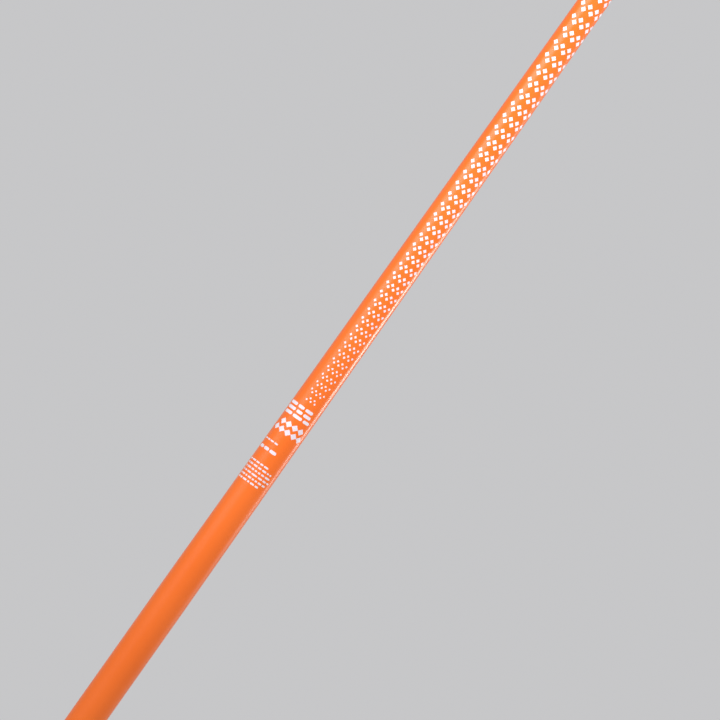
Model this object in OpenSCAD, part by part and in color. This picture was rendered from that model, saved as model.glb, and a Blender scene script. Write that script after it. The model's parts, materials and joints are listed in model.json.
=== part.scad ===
// Fixed-length ski pole: a tapered aluminium shaft, a two-part grip, a wrist strap held by a
// cross pin and a wedge, a snow basket that turns on its ferrule, and a carbide tip.
//
// Origin: on the shaft's axis, halfway along the sleeve that the hand holds.
// +Z runs up the shaft to the pommel, +Y is the side where the fingers close,
// -Y is the palm side, where the strap comes out, and +X is the right side.

/* [Pole] */
// Length of the whole pole, from the tip to the top of the pommel
pole_length = 1200; // [1050:5:1350]

/* [Shaft] */
// Outer diameter of the straight part of the shaft
shaft_d = 18; // [16:0.5:20]
// Outer diameter of the shaft at its lower end
shaft_end_d = 11; // [10:0.5:12]
// Wall of the tube
shaft_wall = 1; // [0.8:0.1:1.4]
// Length of straight tube that shows below the grip
straight_length = 200; // [150:5:300]
// Thickness of the lacquer, which thins out just inside the mouth of the grip
lacquer = 0.05; // [0.03:0.01:0.1]
// Length over which the lacquer thins out inside the grip
lacquer_reach = 0.8; // [0.6:0.1:4]
// Depth of the plug in the top of the tube
plug_depth = 14; // [8:1:25]
// Thickness of the plug's head
plug_head = 2; // [1:0.5:4]

/* [Grip] */
// Length of the soft sleeve between the collar and the pommel
hand_length = 104; // [96:1:116]
// Wall of the hard core around the shaft
core_wall = 2.45; // [2:0.05:4]
// Thickness of the soft sleeve at its sides
sleeve_side = 2.2; // [1.5:0.1:4]
// Thickness of the soft sleeve on the finger side, between the grooves
sleeve_front = 3.6; // [3:0.1:6]
// Thickness of the soft sleeve on the palm side, at its ends
sleeve_rear = 3.2; // [2:0.1:5]
// Extra thickness of the palm swell in the middle
palm_swell = 2.2; // [0:0.1:3]
// Depth of the finger grooves
groove_depth = 1.9; // [0.5:0.1:2.4]
// Distance between finger grooves
finger_pitch = 22; // [19:0.5:24]
// Height of the pommel above the sleeve
pommel_height = 34; // [32:1:42]
// How far the pommel spreads past the core at its sides
pommel_side = 5.6; // [4.5:0.1:8]
// How far the pommel spreads past the core on the finger side
pommel_front = 8; // [6:0.1:11]
// How far the pommel spreads past the core on the palm side
pommel_rear = 8.2; // [6:0.1:11]
// Height of the collar below the sleeve
collar_height = 16; // [12:1:24]
// How far the collar spreads past the core
collar_spread = 5.8; // [4.5:0.1:9]
// Radius of the round cap in the top of the pommel
cap_r = 8; // [6:0.5:9]
// Depth of the cap's seat below the top of the pommel
cap_depth = 6.5; // [5.5:0.5:8]

/* [Strap] */
// Width of the webbing
strap_w = 20; // [16:1:22]
// Thickness of the webbing
webbing_t = 1.4; // [1:0.1:1.6]
// Length of the straight run on the grip side of the loop
loop_drop = 170; // [150:5:200]
// Radius of the bend at the bottom of the loop
loop_bend = 27; // [22:1:32]
// Width of the soft pad that lies against the wrist
pad_w = 30; // [24:1:36]
// Thickness of the pad
pad_t = 2.6; // [1.5:0.1:4]
// Length of pad beyond the bottom bend, on each side
pad_reach = 42; // [20:2:60]
// Length of the free tail of webbing outside the pommel
tail_length = 60; // [50:2:78]
// Length of the moulded tab on the end of the tail
tab_length = 13; // [8:1:20]
// Diameter of the cross pin that carries the strap
pin_d = 4; // [3:0.5:5]
// How far each end of the pin lies below the side of the pommel
pin_recess = 1; // [0.5:0.5:3]
// Width of the wedge that clamps the webbing
wedge_w = 16; // [12:0.5:18]
// Thickness of the wedge at its top, from front to back
wedge_t = 9.6; // [8:0.2:11]
// Length of the sliding keeper along the strap
keeper_length = 9; // [6:0.5:12]
// Wall of the keeper
keeper_wall = 1.4; // [1:0.1:2.5]
// Distance of the keeper from the mouth of the pommel
keeper_place = 30; // [26:1:34]

/* [Ferrule and tip] */
// Height of the carbide rim above which the ferrule begins
ferrule_start = 12; // [10:1:20]
// Radius of the ferrule's lower end, where a tip guard is pushed on
guard_r = 6; // [5.5:0.1:7]
// Length of the lower end that takes a tip guard
guard_length = 16; // [12:1:24]
// Height of the groove that holds the basket's clip, above the tip
groove_start = 46; // [42:1:60]
// Height of the clip's groove
groove_h = 2.4; // [2:0.1:3]
// Depth of the clip's groove
groove_cut = 1; // [0.6:0.1:1.2]
// Radius of the seat that the basket turns on
seat_r = 7.4; // [7.2:0.1:9]
// Length of the seat that the basket turns on
seat_length = 14; // [12:0.5:20]
// Radius of the flange above the basket
flange_r = 10.6; // [9.5:0.1:14]
// Thickness of the flange above the basket
flange_t = 3.2; // [2:0.1:5]
// Length of the ferrule's sleeve above the flange
sleeve_length = 40; // [30:1:60]
// Wall of the ferrule's sleeve at its top
ferrule_wall = 1.7; // [1.3:0.1:3]
// Radius of the carbide insert's shank
insert_r = 2; // [1.5:0.1:2.4]
// Radius of the carbide insert's crown
crown_r = 2.7; // [2.6:0.1:3.2]
// Length of the steel holder's shank inside the ferrule
shank_length = 18; // [10:1:24]
// Radius of the steel holder's shank
shank_r = 3.5; // [3:0.1:4.2]

/* [Basket] */
// Diameter of the basket
basket_d = 95; // [80:1:110]
// Thickness of the basket's web
web_t = 2.4; // [1.8:0.1:3.5]
// How far the rim lies below the hub
basket_drop = 5; // [2:0.5:9]
// Radius of the bead round the rim
bead_r = 2.2; // [1.6:0.1:3]
// Number of windows in the basket
windows = 6; // [5:1:8]
// Width of the spokes between the windows
spoke_w = 9; // [6:0.5:12]
// Wall of the hub
hub_wall = 3.6; // [2.5:0.1:5]
// Number of ribs round the hub
hub_ribs = 12; // [8:1:16]

/* [Fits] */
// Gap round pieces that are glued, pressed or moulded onto each other
glue_gap = 0.05; // [0.03:0.01:0.1]
// Running clearance round the basket's seat
run_gap = 0.05; // [0.03:0.01:0.1]
// Clearance at the ends of pieces that move
end_gap = 0.3; // [0.2:0.05:0.5]
// Clearance of the webbing in the slot of the pommel
slot_gap = 0.5; // [0.4:0.05:0.8]

/* [Hidden] */
$fn = 64;

// Heights along the grip
sleeve_top = hand_length / 2;
sleeve_bottom = -hand_length / 2;
pommel_top = sleeve_top + pommel_height;
collar_bottom = sleeve_bottom - collar_height;
shaft_top = sleeve_top;
plug_top = shaft_top + plug_head + glue_gap;

// Radii of the grip
shaft_r = shaft_d / 2;
bare_r = shaft_r - lacquer;
bore_r = shaft_r + glue_gap;
core_r = bore_r + core_wall;
sleeve_bore_r = core_r + glue_gap;
pommel_flare = 18;
pommel_wide = sleeve_top + pommel_flare; // height at which the pommel is widest

// The pole's lower end
tip_z = pommel_top - pole_length;
taper_z = collar_bottom - straight_length;
groove_z = tip_z + groove_start;
seat_z = groove_z + groove_h;
flange_z = seat_z + seat_length;
ferrule_top = flange_z + flange_t + sleeve_length;
shaft_bottom = seat_z + 2;
taper_slope = (shaft_d - shaft_end_d) / 2 / (taper_z - shaft_bottom);

// Outer radius of the lacquered shaft at a height z
function shaft_radius(z) = z >= taper_z ? shaft_r : shaft_r - (taper_z - z) * taper_slope;

// 0 below a, 1 above b, and a smooth rise between them
function rise(z, a, b) =
    let (u = min(1, max(0, (z - a) / (b - a))))
    u * u * (3 - 2 * u);

// 1 at the centre, falling smoothly to 0 at a distance of half on either side
function hump(z, centre, half) =
    abs(z - centre) >= half ? 0 : (1 + cos(180 * (z - centre) / half)) / 2;

// ---- Cross-sections of the grip ----

section_sides = 32;   // points round a cross-section
section_power = 2.5;  // 2 is an ellipse, and more is squarer
grooves = 4;
top_groove = sleeve_top - 17;
bottom_groove = top_groove - (grooves - 1) * finger_pitch;

// A number raised to a power that keeps its sign
function signed_pow(v, p) = sign(v) * pow(abs(v), p);

// One ring of points: half-width, reach to the front, reach to the rear
function ring(z, half_w, front, rear) = [
    for (i = [0 : section_sides - 1])
        let (
            a = 360 * i / section_sides,
            c = signed_pow(cos(a), 2 / section_power),
            s = signed_pow(sin(a), 2 / section_power)
        )
        [half_w * c, s * (s > 0 ? front : rear), z]
];

// Closed skin through a list of rings, from the lowest to the highest
module skin(rings) {
    n = len(rings[0]);
    last = len(rings) - 1;
    points = [for (r = rings) for (p = r) p];
    sides = [
        for (k = [0 : last - 1]) for (i = [0 : n - 1])
            let (j = (i + 1) % n, a = k * n + i, b = k * n + j)
            each [[a, a + n, b], [b, a + n, b + n]]
    ];
    bottom = [[for (i = [0 : n - 1]) i]];
    top = [[for (i = [n - 1 : -1 : 0]) last * n + i]];
    polyhedron(points = points, faces = concat(bottom, sides, top), convexity = 6);
}

function groove_at(z) =
    z > top_groove + finger_pitch / 2 || z < bottom_groove - finger_pitch / 2
        ? 0
        : (1 + cos(360 * (z - top_groove) / finger_pitch)) / 2;

function sleeve_half(z) = core_r + sleeve_side + 0.5 * hump(z, 0, hand_length * 0.6);
function sleeve_reach_front(z) = core_r + sleeve_front - groove_depth * groove_at(z);
function sleeve_reach_rear(z) = core_r + sleeve_rear + palm_swell * hump(z, 0, hand_length * 0.55);

// Spread of the pommel past the core at a height z, from the sleeve's to its own
function spread(z, from, to) = core_r + from + (to - from) * rise(z, sleeve_top, pommel_wide);
function pommel_half(z) = spread(z, sleeve_side, pommel_side);
function pommel_reach_front(z) = spread(z, sleeve_front, pommel_front);
function pommel_reach_rear(z) = spread(z, sleeve_rear, pommel_rear);

// Height of the dome, and how much the pommel has closed in at an angle up the dome
dome_h = pommel_top - pommel_wide;
dome_rise_power = 2.6;
dome_close_power = 2.2;
dome_last = 86; // angle at which the flat top of the dome begins
function dome_z(a) = pommel_wide + dome_h * pow(sin(a), 2 / dome_rise_power);
function dome_scale(a) = pow(cos(a), 2 / dome_close_power);

// ---- The strap's places ----

layers = 4; // layers of webbing that pass through the mouth of the pommel
stack_t = layers * webbing_t;
slot_floor = plug_top + 6.2;
slot_top = slot_floor + stack_t + 2 * slot_gap;
pin_z = (slot_floor + slot_top) / 2;
pin_y = 1;
pin_r = pin_d / 2;
slot_half = strap_w / 2 + slot_gap + 0.25;
eye_r = pin_r + glue_gap + 2 * webbing_t; // outside of the webbing that is wrapped round the pin
wedge_front = pin_y - eye_r - slot_gap;
wedge_taper = 1;    // how much thinner the wedge is at its foot
wedge_foot = slot_top - slot_gap + end_gap;
wedge_side_gap = 0.2;

// The hinge line of the loop, just outside the mouth
hinge_y = -(pommel_reach_rear(pin_z) + 1.3);
hinge_z = pin_z;

// The loop's centreline, in a plane with v pointing away from the grip and w pointing down.
// It runs down a straight line, round the bottom bend, up a long arc and back along a straight
// line. A heading of 0 points down, 90 away from the grip and 180 up.
bend_end = 172;   // heading at the end of the bottom bend
return_head = 205; // heading of the straight line that comes back to the hinge
bend_end_v = loop_bend * (1 - cos(bend_end));
bend_end_w = loop_drop + loop_bend * sin(bend_end);
// The long arc's radius and the return line's length close the loop
arc_dv = cos(bend_end) - cos(return_head);
arc_dw = sin(return_head) - sin(bend_end);
closing = arc_dv * cos(return_head) - arc_dw * sin(return_head);
arc_r = (bend_end_w * sin(return_head) - bend_end_v * cos(return_head)) / closing;
return_length = -(bend_end_v + arc_r * arc_dv) / sin(return_head);

bend_length = loop_bend * bend_end * PI / 180;
arc_length = arc_r * (return_head - bend_end) * PI / 180;
loop_length = loop_drop + bend_length + arc_length + return_length;

// [v, w, heading] at a distance s along the loop
function loop_at(s) =
    s <= loop_drop ? [0, s, 0] :
    s <= loop_drop + bend_length ?
        let (h = (s - loop_drop) / loop_bend * 180 / PI)
        [loop_bend * (1 - cos(h)), loop_drop + loop_bend * sin(h), h] :
    s <= loop_drop + bend_length + arc_length ?
        let (h = bend_end + (s - loop_drop - bend_length) / arc_r * 180 / PI)
        [bend_end_v + arc_r * (cos(bend_end) - cos(h)), bend_end_w + arc_r * (sin(h) - sin(bend_end)), h] :
        let (left = loop_length - s)
        [-left * sin(return_head), -left * cos(return_head), return_head];

// A point at a distance s along the loop, moved out of the loop by out. It is [y, z].
function loop_point(s, out) =
    let (p = loop_at(s))
    [hinge_y - (p[0] - out * cos(p[2])), hinge_z - (p[1] + out * sin(p[2]))];

// Distances at which every layer of the strap has its corners, so that layers lie flat together
bend_step = 6; // degrees
arc_step = 2;  // degrees
bend_count = ceil(bend_end / bend_step);
arc_count = ceil((return_head - bend_end) / arc_step);
arc_start = loop_drop + bend_length;
stations = concat(
    [for (i = [0 : bend_count]) loop_drop + bend_length * i / bend_count],
    [for (i = [1 : arc_count]) arc_start + arc_length * i / arc_count]
);

// A ribbon along the loop from s0 to s1, between two distances out of its centreline
module ribbon(s0, s1, out0, out1, width) {
    path = concat([s0], [for (s = stations) if (s > s0 && s < s1) s], [s1]);
    across(width)
    polygon(concat(
        [for (s = path) loop_point(s, out1)],
        [for (i = [len(path) - 1 : -1 : 0]) loop_point(path[i], out0)]
    ));
}

// Turns a shape drawn in [y, z] into a solid of a given width along X, centred on X = 0
module across(width) {
    rotate([90, 0, 90]) linear_extrude(height = width, center = true, convexity = 6) children();
}

half_t = webbing_t / 2;
layer_gap = 0.1;
tail_in = half_t + layer_gap;
tail_out = tail_in + webbing_t;
knuckle_r = stack_t / 2;
tail_s1 = loop_length - knuckle_r - 1;
tail_s0 = tail_s1 - tail_length;

// ---- Shaft ----

module shaft_tube() {
    color("orangered")
    rotate_extrude()
    polygon([
        [bare_r, shaft_top],
        [bare_r, collar_bottom + lacquer_reach],
        [shaft_r, collar_bottom],
        [shaft_r, taper_z],
        [shaft_end_d / 2, shaft_bottom],
        [shaft_end_d / 2 - shaft_wall, shaft_bottom],
        [shaft_r - shaft_wall, taper_z],
        [shaft_r - shaft_wall, shaft_top]
    ]);
}

// Plastic plug that closes the top of the tube
module shaft_plug() {
    spigot_r = shaft_r - shaft_wall - glue_gap;
    color("gainsboro")
    rotate_extrude()
    polygon([
        [0, shaft_top - plug_depth],
        [spigot_r - 1, shaft_top - plug_depth],
        [spigot_r, shaft_top - plug_depth + 1.5],
        [spigot_r, shaft_top + glue_gap],
        [bare_r, shaft_top + glue_gap],
        [bare_r, plug_top],
        [0, plug_top]
    ]);
}

// ---- Grip ----

flare_rings = 6;
dome_rings = 11;

module pommel_skin() {
    flare = [
        for (k = [0 : flare_rings - 1])
            let (z = sleeve_top + (pommel_wide - sleeve_top) * k / flare_rings)
            ring(z, pommel_half(z), pommel_reach_front(z), pommel_reach_rear(z))
    ];
    dome = [
        for (k = [0 : dome_rings])
            let (a = dome_last * k / dome_rings, m = dome_scale(a))
            ring(
                dome_z(a),
                m * (core_r + pommel_side),
                m * (core_r + pommel_front),
                m * (core_r + pommel_rear)
            )
    ];
    skin(concat(flare, dome));
}

// Collar that stops the hand at the bottom of the grip
module collar() {
    rim_r = core_r + collar_spread;
    lip_r = 1.6;
    rotate_extrude()
    polygon(concat(
        [[core_r - 1, sleeve_bottom], [rim_r - lip_r, sleeve_bottom]],
        [
            for (a = [75 : -15 : -45])
                [rim_r - lip_r + lip_r * cos(a), sleeve_bottom - lip_r + lip_r * sin(a)]
        ],
        [[core_r + 0.4, collar_bottom + 2], [core_r - 0.6, collar_bottom], [core_r - 1, collar_bottom]]
    ));
}

cap_wall = 2.4; // wall between the cap's seat and the wedge's pocket
cap_y = wedge_front + wedge_side_gap + cap_wall + cap_r;
cap_seat = pommel_top - cap_depth;
peg_r = 1.5;
peg_length = 5;
peg_x = 4.5;

module cap_pegs(r, length) {
    for (side = [-1, 1])
        translate([side * peg_x, cap_y, cap_seat - length])
        cylinder(r = r, h = length + 0.01);
}

// Cross-section of the wedge or its pocket, in [y, z]
module wedge_outline(gap, foot) {
    polygon([
        [wedge_front + gap, pommel_top + 5],
        [wedge_front + gap - wedge_taper * 0.3, foot],
        [wedge_front - gap - wedge_t + wedge_taper, foot],
        [wedge_front - gap - wedge_t, pommel_top + 5]
    ]);
}

// Hard core: the tube round the shaft, the collar and the pommel
module grip_core() {
    color("dimgray")
    difference() {
        union() {
            pommel_skin();
            collar();
            translate([0, 0, collar_bottom]) cylinder(r = core_r, h = sleeve_top + 2 - collar_bottom);
        }
        // bore for the shaft and its plug
        translate([0, 0, collar_bottom - 1])
            cylinder(r = bore_r, h = plug_top + glue_gap - collar_bottom + 1);
        // slot for the webbing, out of the palm side
        translate([-slot_half, -60, slot_floor]) cube([2 * slot_half, 60 + pin_y, slot_top - slot_floor]);
        // room for the webbing that is wrapped round the pin
        translate([-slot_half, pin_y, pin_z]) rotate([0, 90, 0])
            cylinder(r = eye_r + slot_gap, h = 2 * slot_half);
        // hole for the cross pin
        translate([-40, pin_y, pin_z]) rotate([0, 90, 0]) cylinder(r = pin_r + glue_gap, h = 80);
        // pocket for the wedge
        across(wedge_w + 2 * wedge_side_gap) wedge_outline(wedge_side_gap, slot_top - 0.5);
        // seat and peg holes for the cap
        translate([0, cap_y, cap_seat]) cylinder(r = cap_r + glue_gap, h = cap_depth + 5);
        cap_pegs(peg_r + glue_gap, peg_length + 0.5);
    }
}

sleeve_rings = 32;

// Soft sleeve with finger grooves and a palm swell
module grip_sleeve() {
    color("black")
    difference() {
        skin([
            for (k = [0 : sleeve_rings])
                let (z = sleeve_bottom + glue_gap + (hand_length - 2 * glue_gap) * k / sleeve_rings)
                ring(z, sleeve_half(z), sleeve_reach_front(z), sleeve_reach_rear(z))
        ]);
        translate([0, 0, sleeve_bottom - 1]) cylinder(r = sleeve_bore_r, h = hand_length + 2);
    }
}

// Round cap that closes the front of the pommel's top, flush with the dome
module pommel_cap() {
    color("darkslategray")
    union() {
        intersection() {
            pommel_skin();
            translate([0, cap_y, cap_seat]) cylinder(r = cap_r, h = cap_depth + 5);
        }
        cap_pegs(peg_r, peg_length);
    }
}

// ---- Strap parts that stay in the pommel ----

// Steel cross pin
module strap_pin() {
    half = pommel_half(pin_z) - pin_recess;
    chamfer = 0.5;
    color("silver")
    translate([0, pin_y, pin_z]) rotate([0, 90, 0])
    rotate_extrude()
    polygon([
        [0, -half], [pin_r - chamfer, -half], [pin_r, chamfer - half],
        [pin_r, half - chamfer], [pin_r - chamfer, half], [0, half]
    ]);
}

// Wedge that clamps the webbing and slides up to let it go
module strap_wedge() {
    teeth = 4;
    tooth_pitch = 2;
    tooth = 0.8;      // side of the square groove between two teeth
    first_tooth = 1.6;
    notch_r = 1.5;    // notch for a fingernail
    notch_inset = 3;
    notch_depth = 1.1;
    color("darkorange")
    difference() {
        intersection() {
            pommel_skin();
            across(wedge_w) wedge_outline(0, wedge_foot);
        }
        // teeth that bite the webbing
        for (i = [0 : teeth - 1])
            translate([-wedge_w, wedge_front - first_tooth - i * tooth_pitch, wedge_foot - tooth / sqrt(2)])
            rotate([45, 0, 0]) cube([2 * wedge_w, tooth, tooth]);
        translate([notch_inset - wedge_w / 2, wedge_front - wedge_t * 0.55, pommel_top - notch_depth])
        rotate([0, 90, 0]) cylinder(r = notch_r, h = wedge_w - 2 * notch_inset);
    }
}

// Webbing inside the pommel: two layers wrapped round the pin, four on their way to the mouth
module strap_inner() {
    end_y = hinge_y + knuckle_r + end_gap;
    color("dimgray")
    across(strap_w)
    difference() {
        union() {
            translate([pin_y, pin_z]) circle(r = eye_r);
            translate([end_y, pin_z - knuckle_r]) square([pin_y - end_y, stack_t]);
        }
        translate([pin_y, pin_z]) circle(r = pin_r + glue_gap);
    }
}

// ---- Strap parts that swing ----

// The loop of webbing, with the rounded end that it swings on
module strap_webbing() {
    color("dimgray")
    union() {
        ribbon(0, arc_start, -half_t, half_t, strap_w);
        ribbon(arc_start, loop_length, -half_t, half_t, strap_w);
        translate([0, hinge_y, hinge_z]) rotate([0, 90, 0])
            cylinder(r = knuckle_r, h = strap_w, center = true);
    }
}

// Free end of the webbing, which lies on the outside of the loop
module strap_tail() {
    color("gray") ribbon(tail_s0, tail_s1, tail_in, tail_out, strap_w);
}

// Moulded tab that stops the tail from slipping through
module strap_end_tab() {
    s1 = tail_s0 - glue_gap;
    tab_extra = 1.2; // how much thicker the tab is than the webbing
    color("black") ribbon(s1 - tab_length, s1, tail_in, tail_out + tab_extra, strap_w + 1);
}

pad_s0 = loop_drop - pad_reach;
pad_s1 = loop_drop + bend_length + pad_reach;
pad_out = -half_t - glue_gap;

// Soft pad on the inside of the loop
module strap_pad() {
    color("slategray") ribbon(pad_s0, pad_s1, pad_out - pad_t, pad_out, pad_w);
}

// Bars of stitching that hold the pad to the webbing
module strap_bartacks() {
    tack_w = strap_w - 5;
    tack_length = 2;
    inset = 6;
    color("orange")
    for (s = [pad_s0 + inset, pad_s0 + inset + 10, pad_s1 - inset - 10, pad_s1 - inset])
        ribbon(s - tack_length / 2, s + tack_length / 2, half_t, half_t + 0.4, tack_w);
}

keeper_s = loop_length - keeper_place;
keeper_clear = 0.4;

// Moulded loop that holds the tail against the strap and slides along both
module strap_keeper() {
    inner0 = -half_t - keeper_clear;
    inner1 = tail_out + keeper_clear;
    inner_w = strap_w + 2 * keeper_clear;
    s0 = keeper_s - keeper_length / 2;
    s1 = keeper_s + keeper_length / 2;
    color("black")
    difference() {
        ribbon(s0, s1, inner0 - keeper_wall, inner1 + keeper_wall, inner_w + 2 * keeper_wall);
        ribbon(s0 - 1, s1 + 1, inner0, inner1, inner_w);
    }
}

// ---- Ferrule and tip ----

holder_top_r = guard_r - 1.2;
holder_start = tip_z + 3;
insert_depth = 12;

// Nylon ferrule: tip guard seat, basket seat, flange and the sleeve round the shaft
module ferrule() {
    start_z = tip_z + ferrule_start;
    guard_z = start_z + guard_length;
    sleeve_z = flange_z + flange_t;
    sleeve_base_r = shaft_radius(sleeve_z) + glue_gap + ferrule_wall + 0.6;
    sleeve_top_r = shaft_radius(ferrule_top) + glue_gap + ferrule_wall;
    color("black")
    difference() {
        rotate_extrude()
        polygon([
            [0, start_z],
            [guard_r - 0.6, start_z],
            [guard_r, start_z + 0.6],
            [guard_r, guard_z],
            [seat_r, groove_z - 1],
            [seat_r, groove_z],
            [seat_r - groove_cut, groove_z],
            [seat_r - groove_cut, seat_z],
            [seat_r, seat_z],
            [seat_r, flange_z],
            [flange_r - 0.6, flange_z],
            [flange_r, flange_z + 0.6],
            [flange_r, sleeve_z - 1],
            [sleeve_base_r + 0.8, sleeve_z],
            [sleeve_base_r, sleeve_z + 1.5],
            [sleeve_top_r, ferrule_top - 1],
            [sleeve_top_r - 0.7, ferrule_top],
            [0, ferrule_top]
        ]);
        // socket that follows the taper of the shaft
        rotate_extrude()
        polygon([
            [0, shaft_bottom - glue_gap],
            [shaft_end_d / 2 + glue_gap, shaft_bottom - glue_gap],
            [shaft_radius(ferrule_top + 1) + glue_gap, ferrule_top + 1],
            [0, ferrule_top + 1]
        ]);
        // socket for the steel holder
        translate([0, 0, start_z - 1])
            cylinder(r = shank_r + glue_gap, h = shank_length + glue_gap + 1);
    }
}

// Steel holder pressed into the ferrule
module tip_holder() {
    shoulder_z = tip_z + ferrule_start - glue_gap;
    color("silver")
    difference() {
        rotate_extrude()
        polygon([
            [0, holder_start],
            [crown_r + 0.7, holder_start],
            [crown_r + 1.1, holder_start + 0.6],
            [holder_top_r, shoulder_z - 1],
            [holder_top_r, shoulder_z],
            [shank_r, shoulder_z],
            [shank_r, tip_z + ferrule_start + shank_length - 0.8],
            [shank_r - 0.8, tip_z + ferrule_start + shank_length],
            [0, tip_z + ferrule_start + shank_length]
        ]);
        translate([0, 0, holder_start - 1])
            cylinder(r = insert_r + glue_gap, h = insert_depth + glue_gap + 1);
        translate([0, 0, holder_start - 1])
            cylinder(r = crown_r + glue_gap, h = 2.2);
    }
}

// Carbide insert with a hollow crown that bites into ice
module tip_insert() {
    crown_top = holder_start + 1.2 - glue_gap;
    color("lightgray")
    rotate_extrude()
    polygon([
        [0, tip_z + 1.6],
        [crown_r - 0.5, tip_z],
        [crown_r, tip_z + 0.7],
        [crown_r, crown_top],
        [insert_r, crown_top],
        [insert_r, holder_start + insert_depth],
        [0, holder_start + insert_depth]
    ]);
}

// ---- Basket ----

hub_bottom = seat_z + end_gap;
hub_top = flange_z - end_gap;
hub_middle = (hub_bottom + hub_top) / 2;
hub_r = seat_r + run_gap + hub_wall;
hub_rim_r = hub_r + 3.4;
hub_rim_t = 2;
disc_inner_r = hub_r + glue_gap;
disc_boss_r = hub_rim_r + 2.6;
disc_boss_t = hub_rim_t + 3.2;
rim_r = basket_d / 2;
rim_centre_r = rim_r - bead_r;
rim_z = hub_middle - basket_drop;

// Hub that turns on the ferrule
module basket_hub() {
    chamfer = 0.8;
    color("black")
    difference() {
        union() {
            rotate_extrude()
            polygon([
                [seat_r, hub_bottom],
                [hub_r - chamfer, hub_bottom],
                [hub_r, hub_bottom + chamfer],
                [hub_r, hub_middle - hub_rim_t / 2],
                [hub_rim_r, hub_middle - hub_rim_t / 2],
                [hub_rim_r, hub_middle + hub_rim_t / 2],
                [hub_r, hub_middle + hub_rim_t / 2],
                [hub_r, hub_top - chamfer],
                [hub_r - chamfer, hub_top],
                [seat_r, hub_top]
            ]);
            // ribs for the fingers, above and below the web
            for (i = [0 : hub_ribs - 1])
                rotate([0, 0, 360 * i / hub_ribs])
                for (span = [
                    [hub_bottom + 1.2, hub_middle - disc_boss_t / 2 - glue_gap],
                    [hub_middle + disc_boss_t / 2 + glue_gap, hub_top - 1.2]
                ])
                    translate([hub_r - 0.2, 0, span[0]]) cylinder(r = 0.9, h = span[1] - span[0]);
        }
        translate([0, 0, hub_bottom - 1]) cylinder(r = seat_r + run_gap, h = hub_top - hub_bottom + 2);
    }
}

// Height of the middle of the web at a distance r from the axis
function web_z(r) = hub_middle - basket_drop * (r - disc_boss_r) / (rim_centre_r - disc_boss_r);

// Outline of the windows between the spokes, with rounded corners
window_corner = 3.5;
window_inner = disc_boss_r + 1.6;
window_outer = rim_centre_r - bead_r + 0.4;

// A sector that covers an angle on each side of every spoke
module spoke_wedges(half_angle) {
    reach = 2 * rim_r;
    for (i = [0 : windows - 1])
        rotate(360 * i / windows)
        polygon([
            [0, 0],
            [reach * cos(half_angle), -reach * sin(half_angle)],
            [reach * cos(half_angle), reach * sin(half_angle)]
        ]);
}

module window_outlines() {
    half = spoke_w / 2;
    corner_y = half + window_corner;
    corner_in = window_inner + window_corner;
    corner_out = window_outer - window_corner;
    u_in = sqrt(corner_in * corner_in - corner_y * corner_y);
    u_out = sqrt(corner_out * corner_out - corner_y * corner_y);
    // middle of each window, as far as the centres of its corners
    difference() {
        circle(r = corner_out);
        circle(r = corner_in);
        for (i = [0 : windows - 1])
            rotate(360 * i / windows) translate([0, -corner_y]) square([rim_r, 2 * corner_y]);
    }
    // inner edge, then outer edge
    difference() {
        circle(r = corner_in);
        circle(r = window_inner);
        spoke_wedges(asin(corner_y / corner_in));
    }
    difference() {
        circle(r = window_outer);
        circle(r = corner_out);
        spoke_wedges(asin(corner_y / corner_out));
    }
    // sides along the spokes, and the corners
    for (i = [0 : windows - 1])
        rotate(360 * i / windows)
        for (side = [0, 1])
            mirror([0, side]) {
                translate([u_in, half]) square([u_out - u_in, window_corner]);
                translate([u_in, corner_y]) circle(r = window_corner);
                translate([u_out, corner_y]) circle(r = window_corner);
            }
}

// Soft disc: boss moulded round the hub's rim, dished web with windows, ribs and rim bead
module basket_disc() {
    groove_r = hub_rim_r + glue_gap;
    groove_half = hub_rim_t / 2 + glue_gap;
    rib_w = 2;
    rib_h = 1.6;
    color("black")
    difference() {
        union() {
            difference() {
                rotate_extrude()
                polygon([
                    [disc_inner_r, hub_middle - disc_boss_t / 2],
                    [disc_boss_r - 1, hub_middle - disc_boss_t / 2],
                    [disc_boss_r, hub_middle - web_t / 2],
                    [rim_centre_r, rim_z - web_t / 2],
                    [rim_centre_r, rim_z + web_t / 2],
                    [disc_boss_r, hub_middle + web_t / 2],
                    [disc_boss_r - 1, hub_middle + disc_boss_t / 2],
                    [disc_inner_r, hub_middle + disc_boss_t / 2]
                ]);
                translate([0, 0, rim_z - 20]) linear_extrude(height = 60, convexity = 8) window_outlines();
            }
            // rim bead
            rotate_extrude() translate([rim_centre_r, rim_z]) circle(r = bead_r);
            // a rib along the top of each spoke
            intersection() {
                rotate_extrude()
                polygon([
                    [disc_boss_r - 1, web_z(disc_boss_r - 1)],
                    [rim_centre_r, web_z(rim_centre_r)],
                    [rim_centre_r, web_z(rim_centre_r) + web_t / 2 + 0.4],
                    [disc_boss_r - 1, web_z(disc_boss_r - 1) + web_t / 2 + rib_h]
                ]);
                for (i = [0 : windows - 1])
                    rotate([0, 0, 360 * i / windows])
                    translate([0, -rib_w / 2, rim_z - 20]) cube([rim_r, rib_w, 60]);
            }
        }
        // groove for the hub's rim
        rotate_extrude()
        polygon([
            [disc_inner_r - 1, hub_middle - groove_half], [groove_r, hub_middle - groove_half],
            [groove_r, hub_middle + groove_half], [disc_inner_r - 1, hub_middle + groove_half]
        ]);
    }
}

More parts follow.
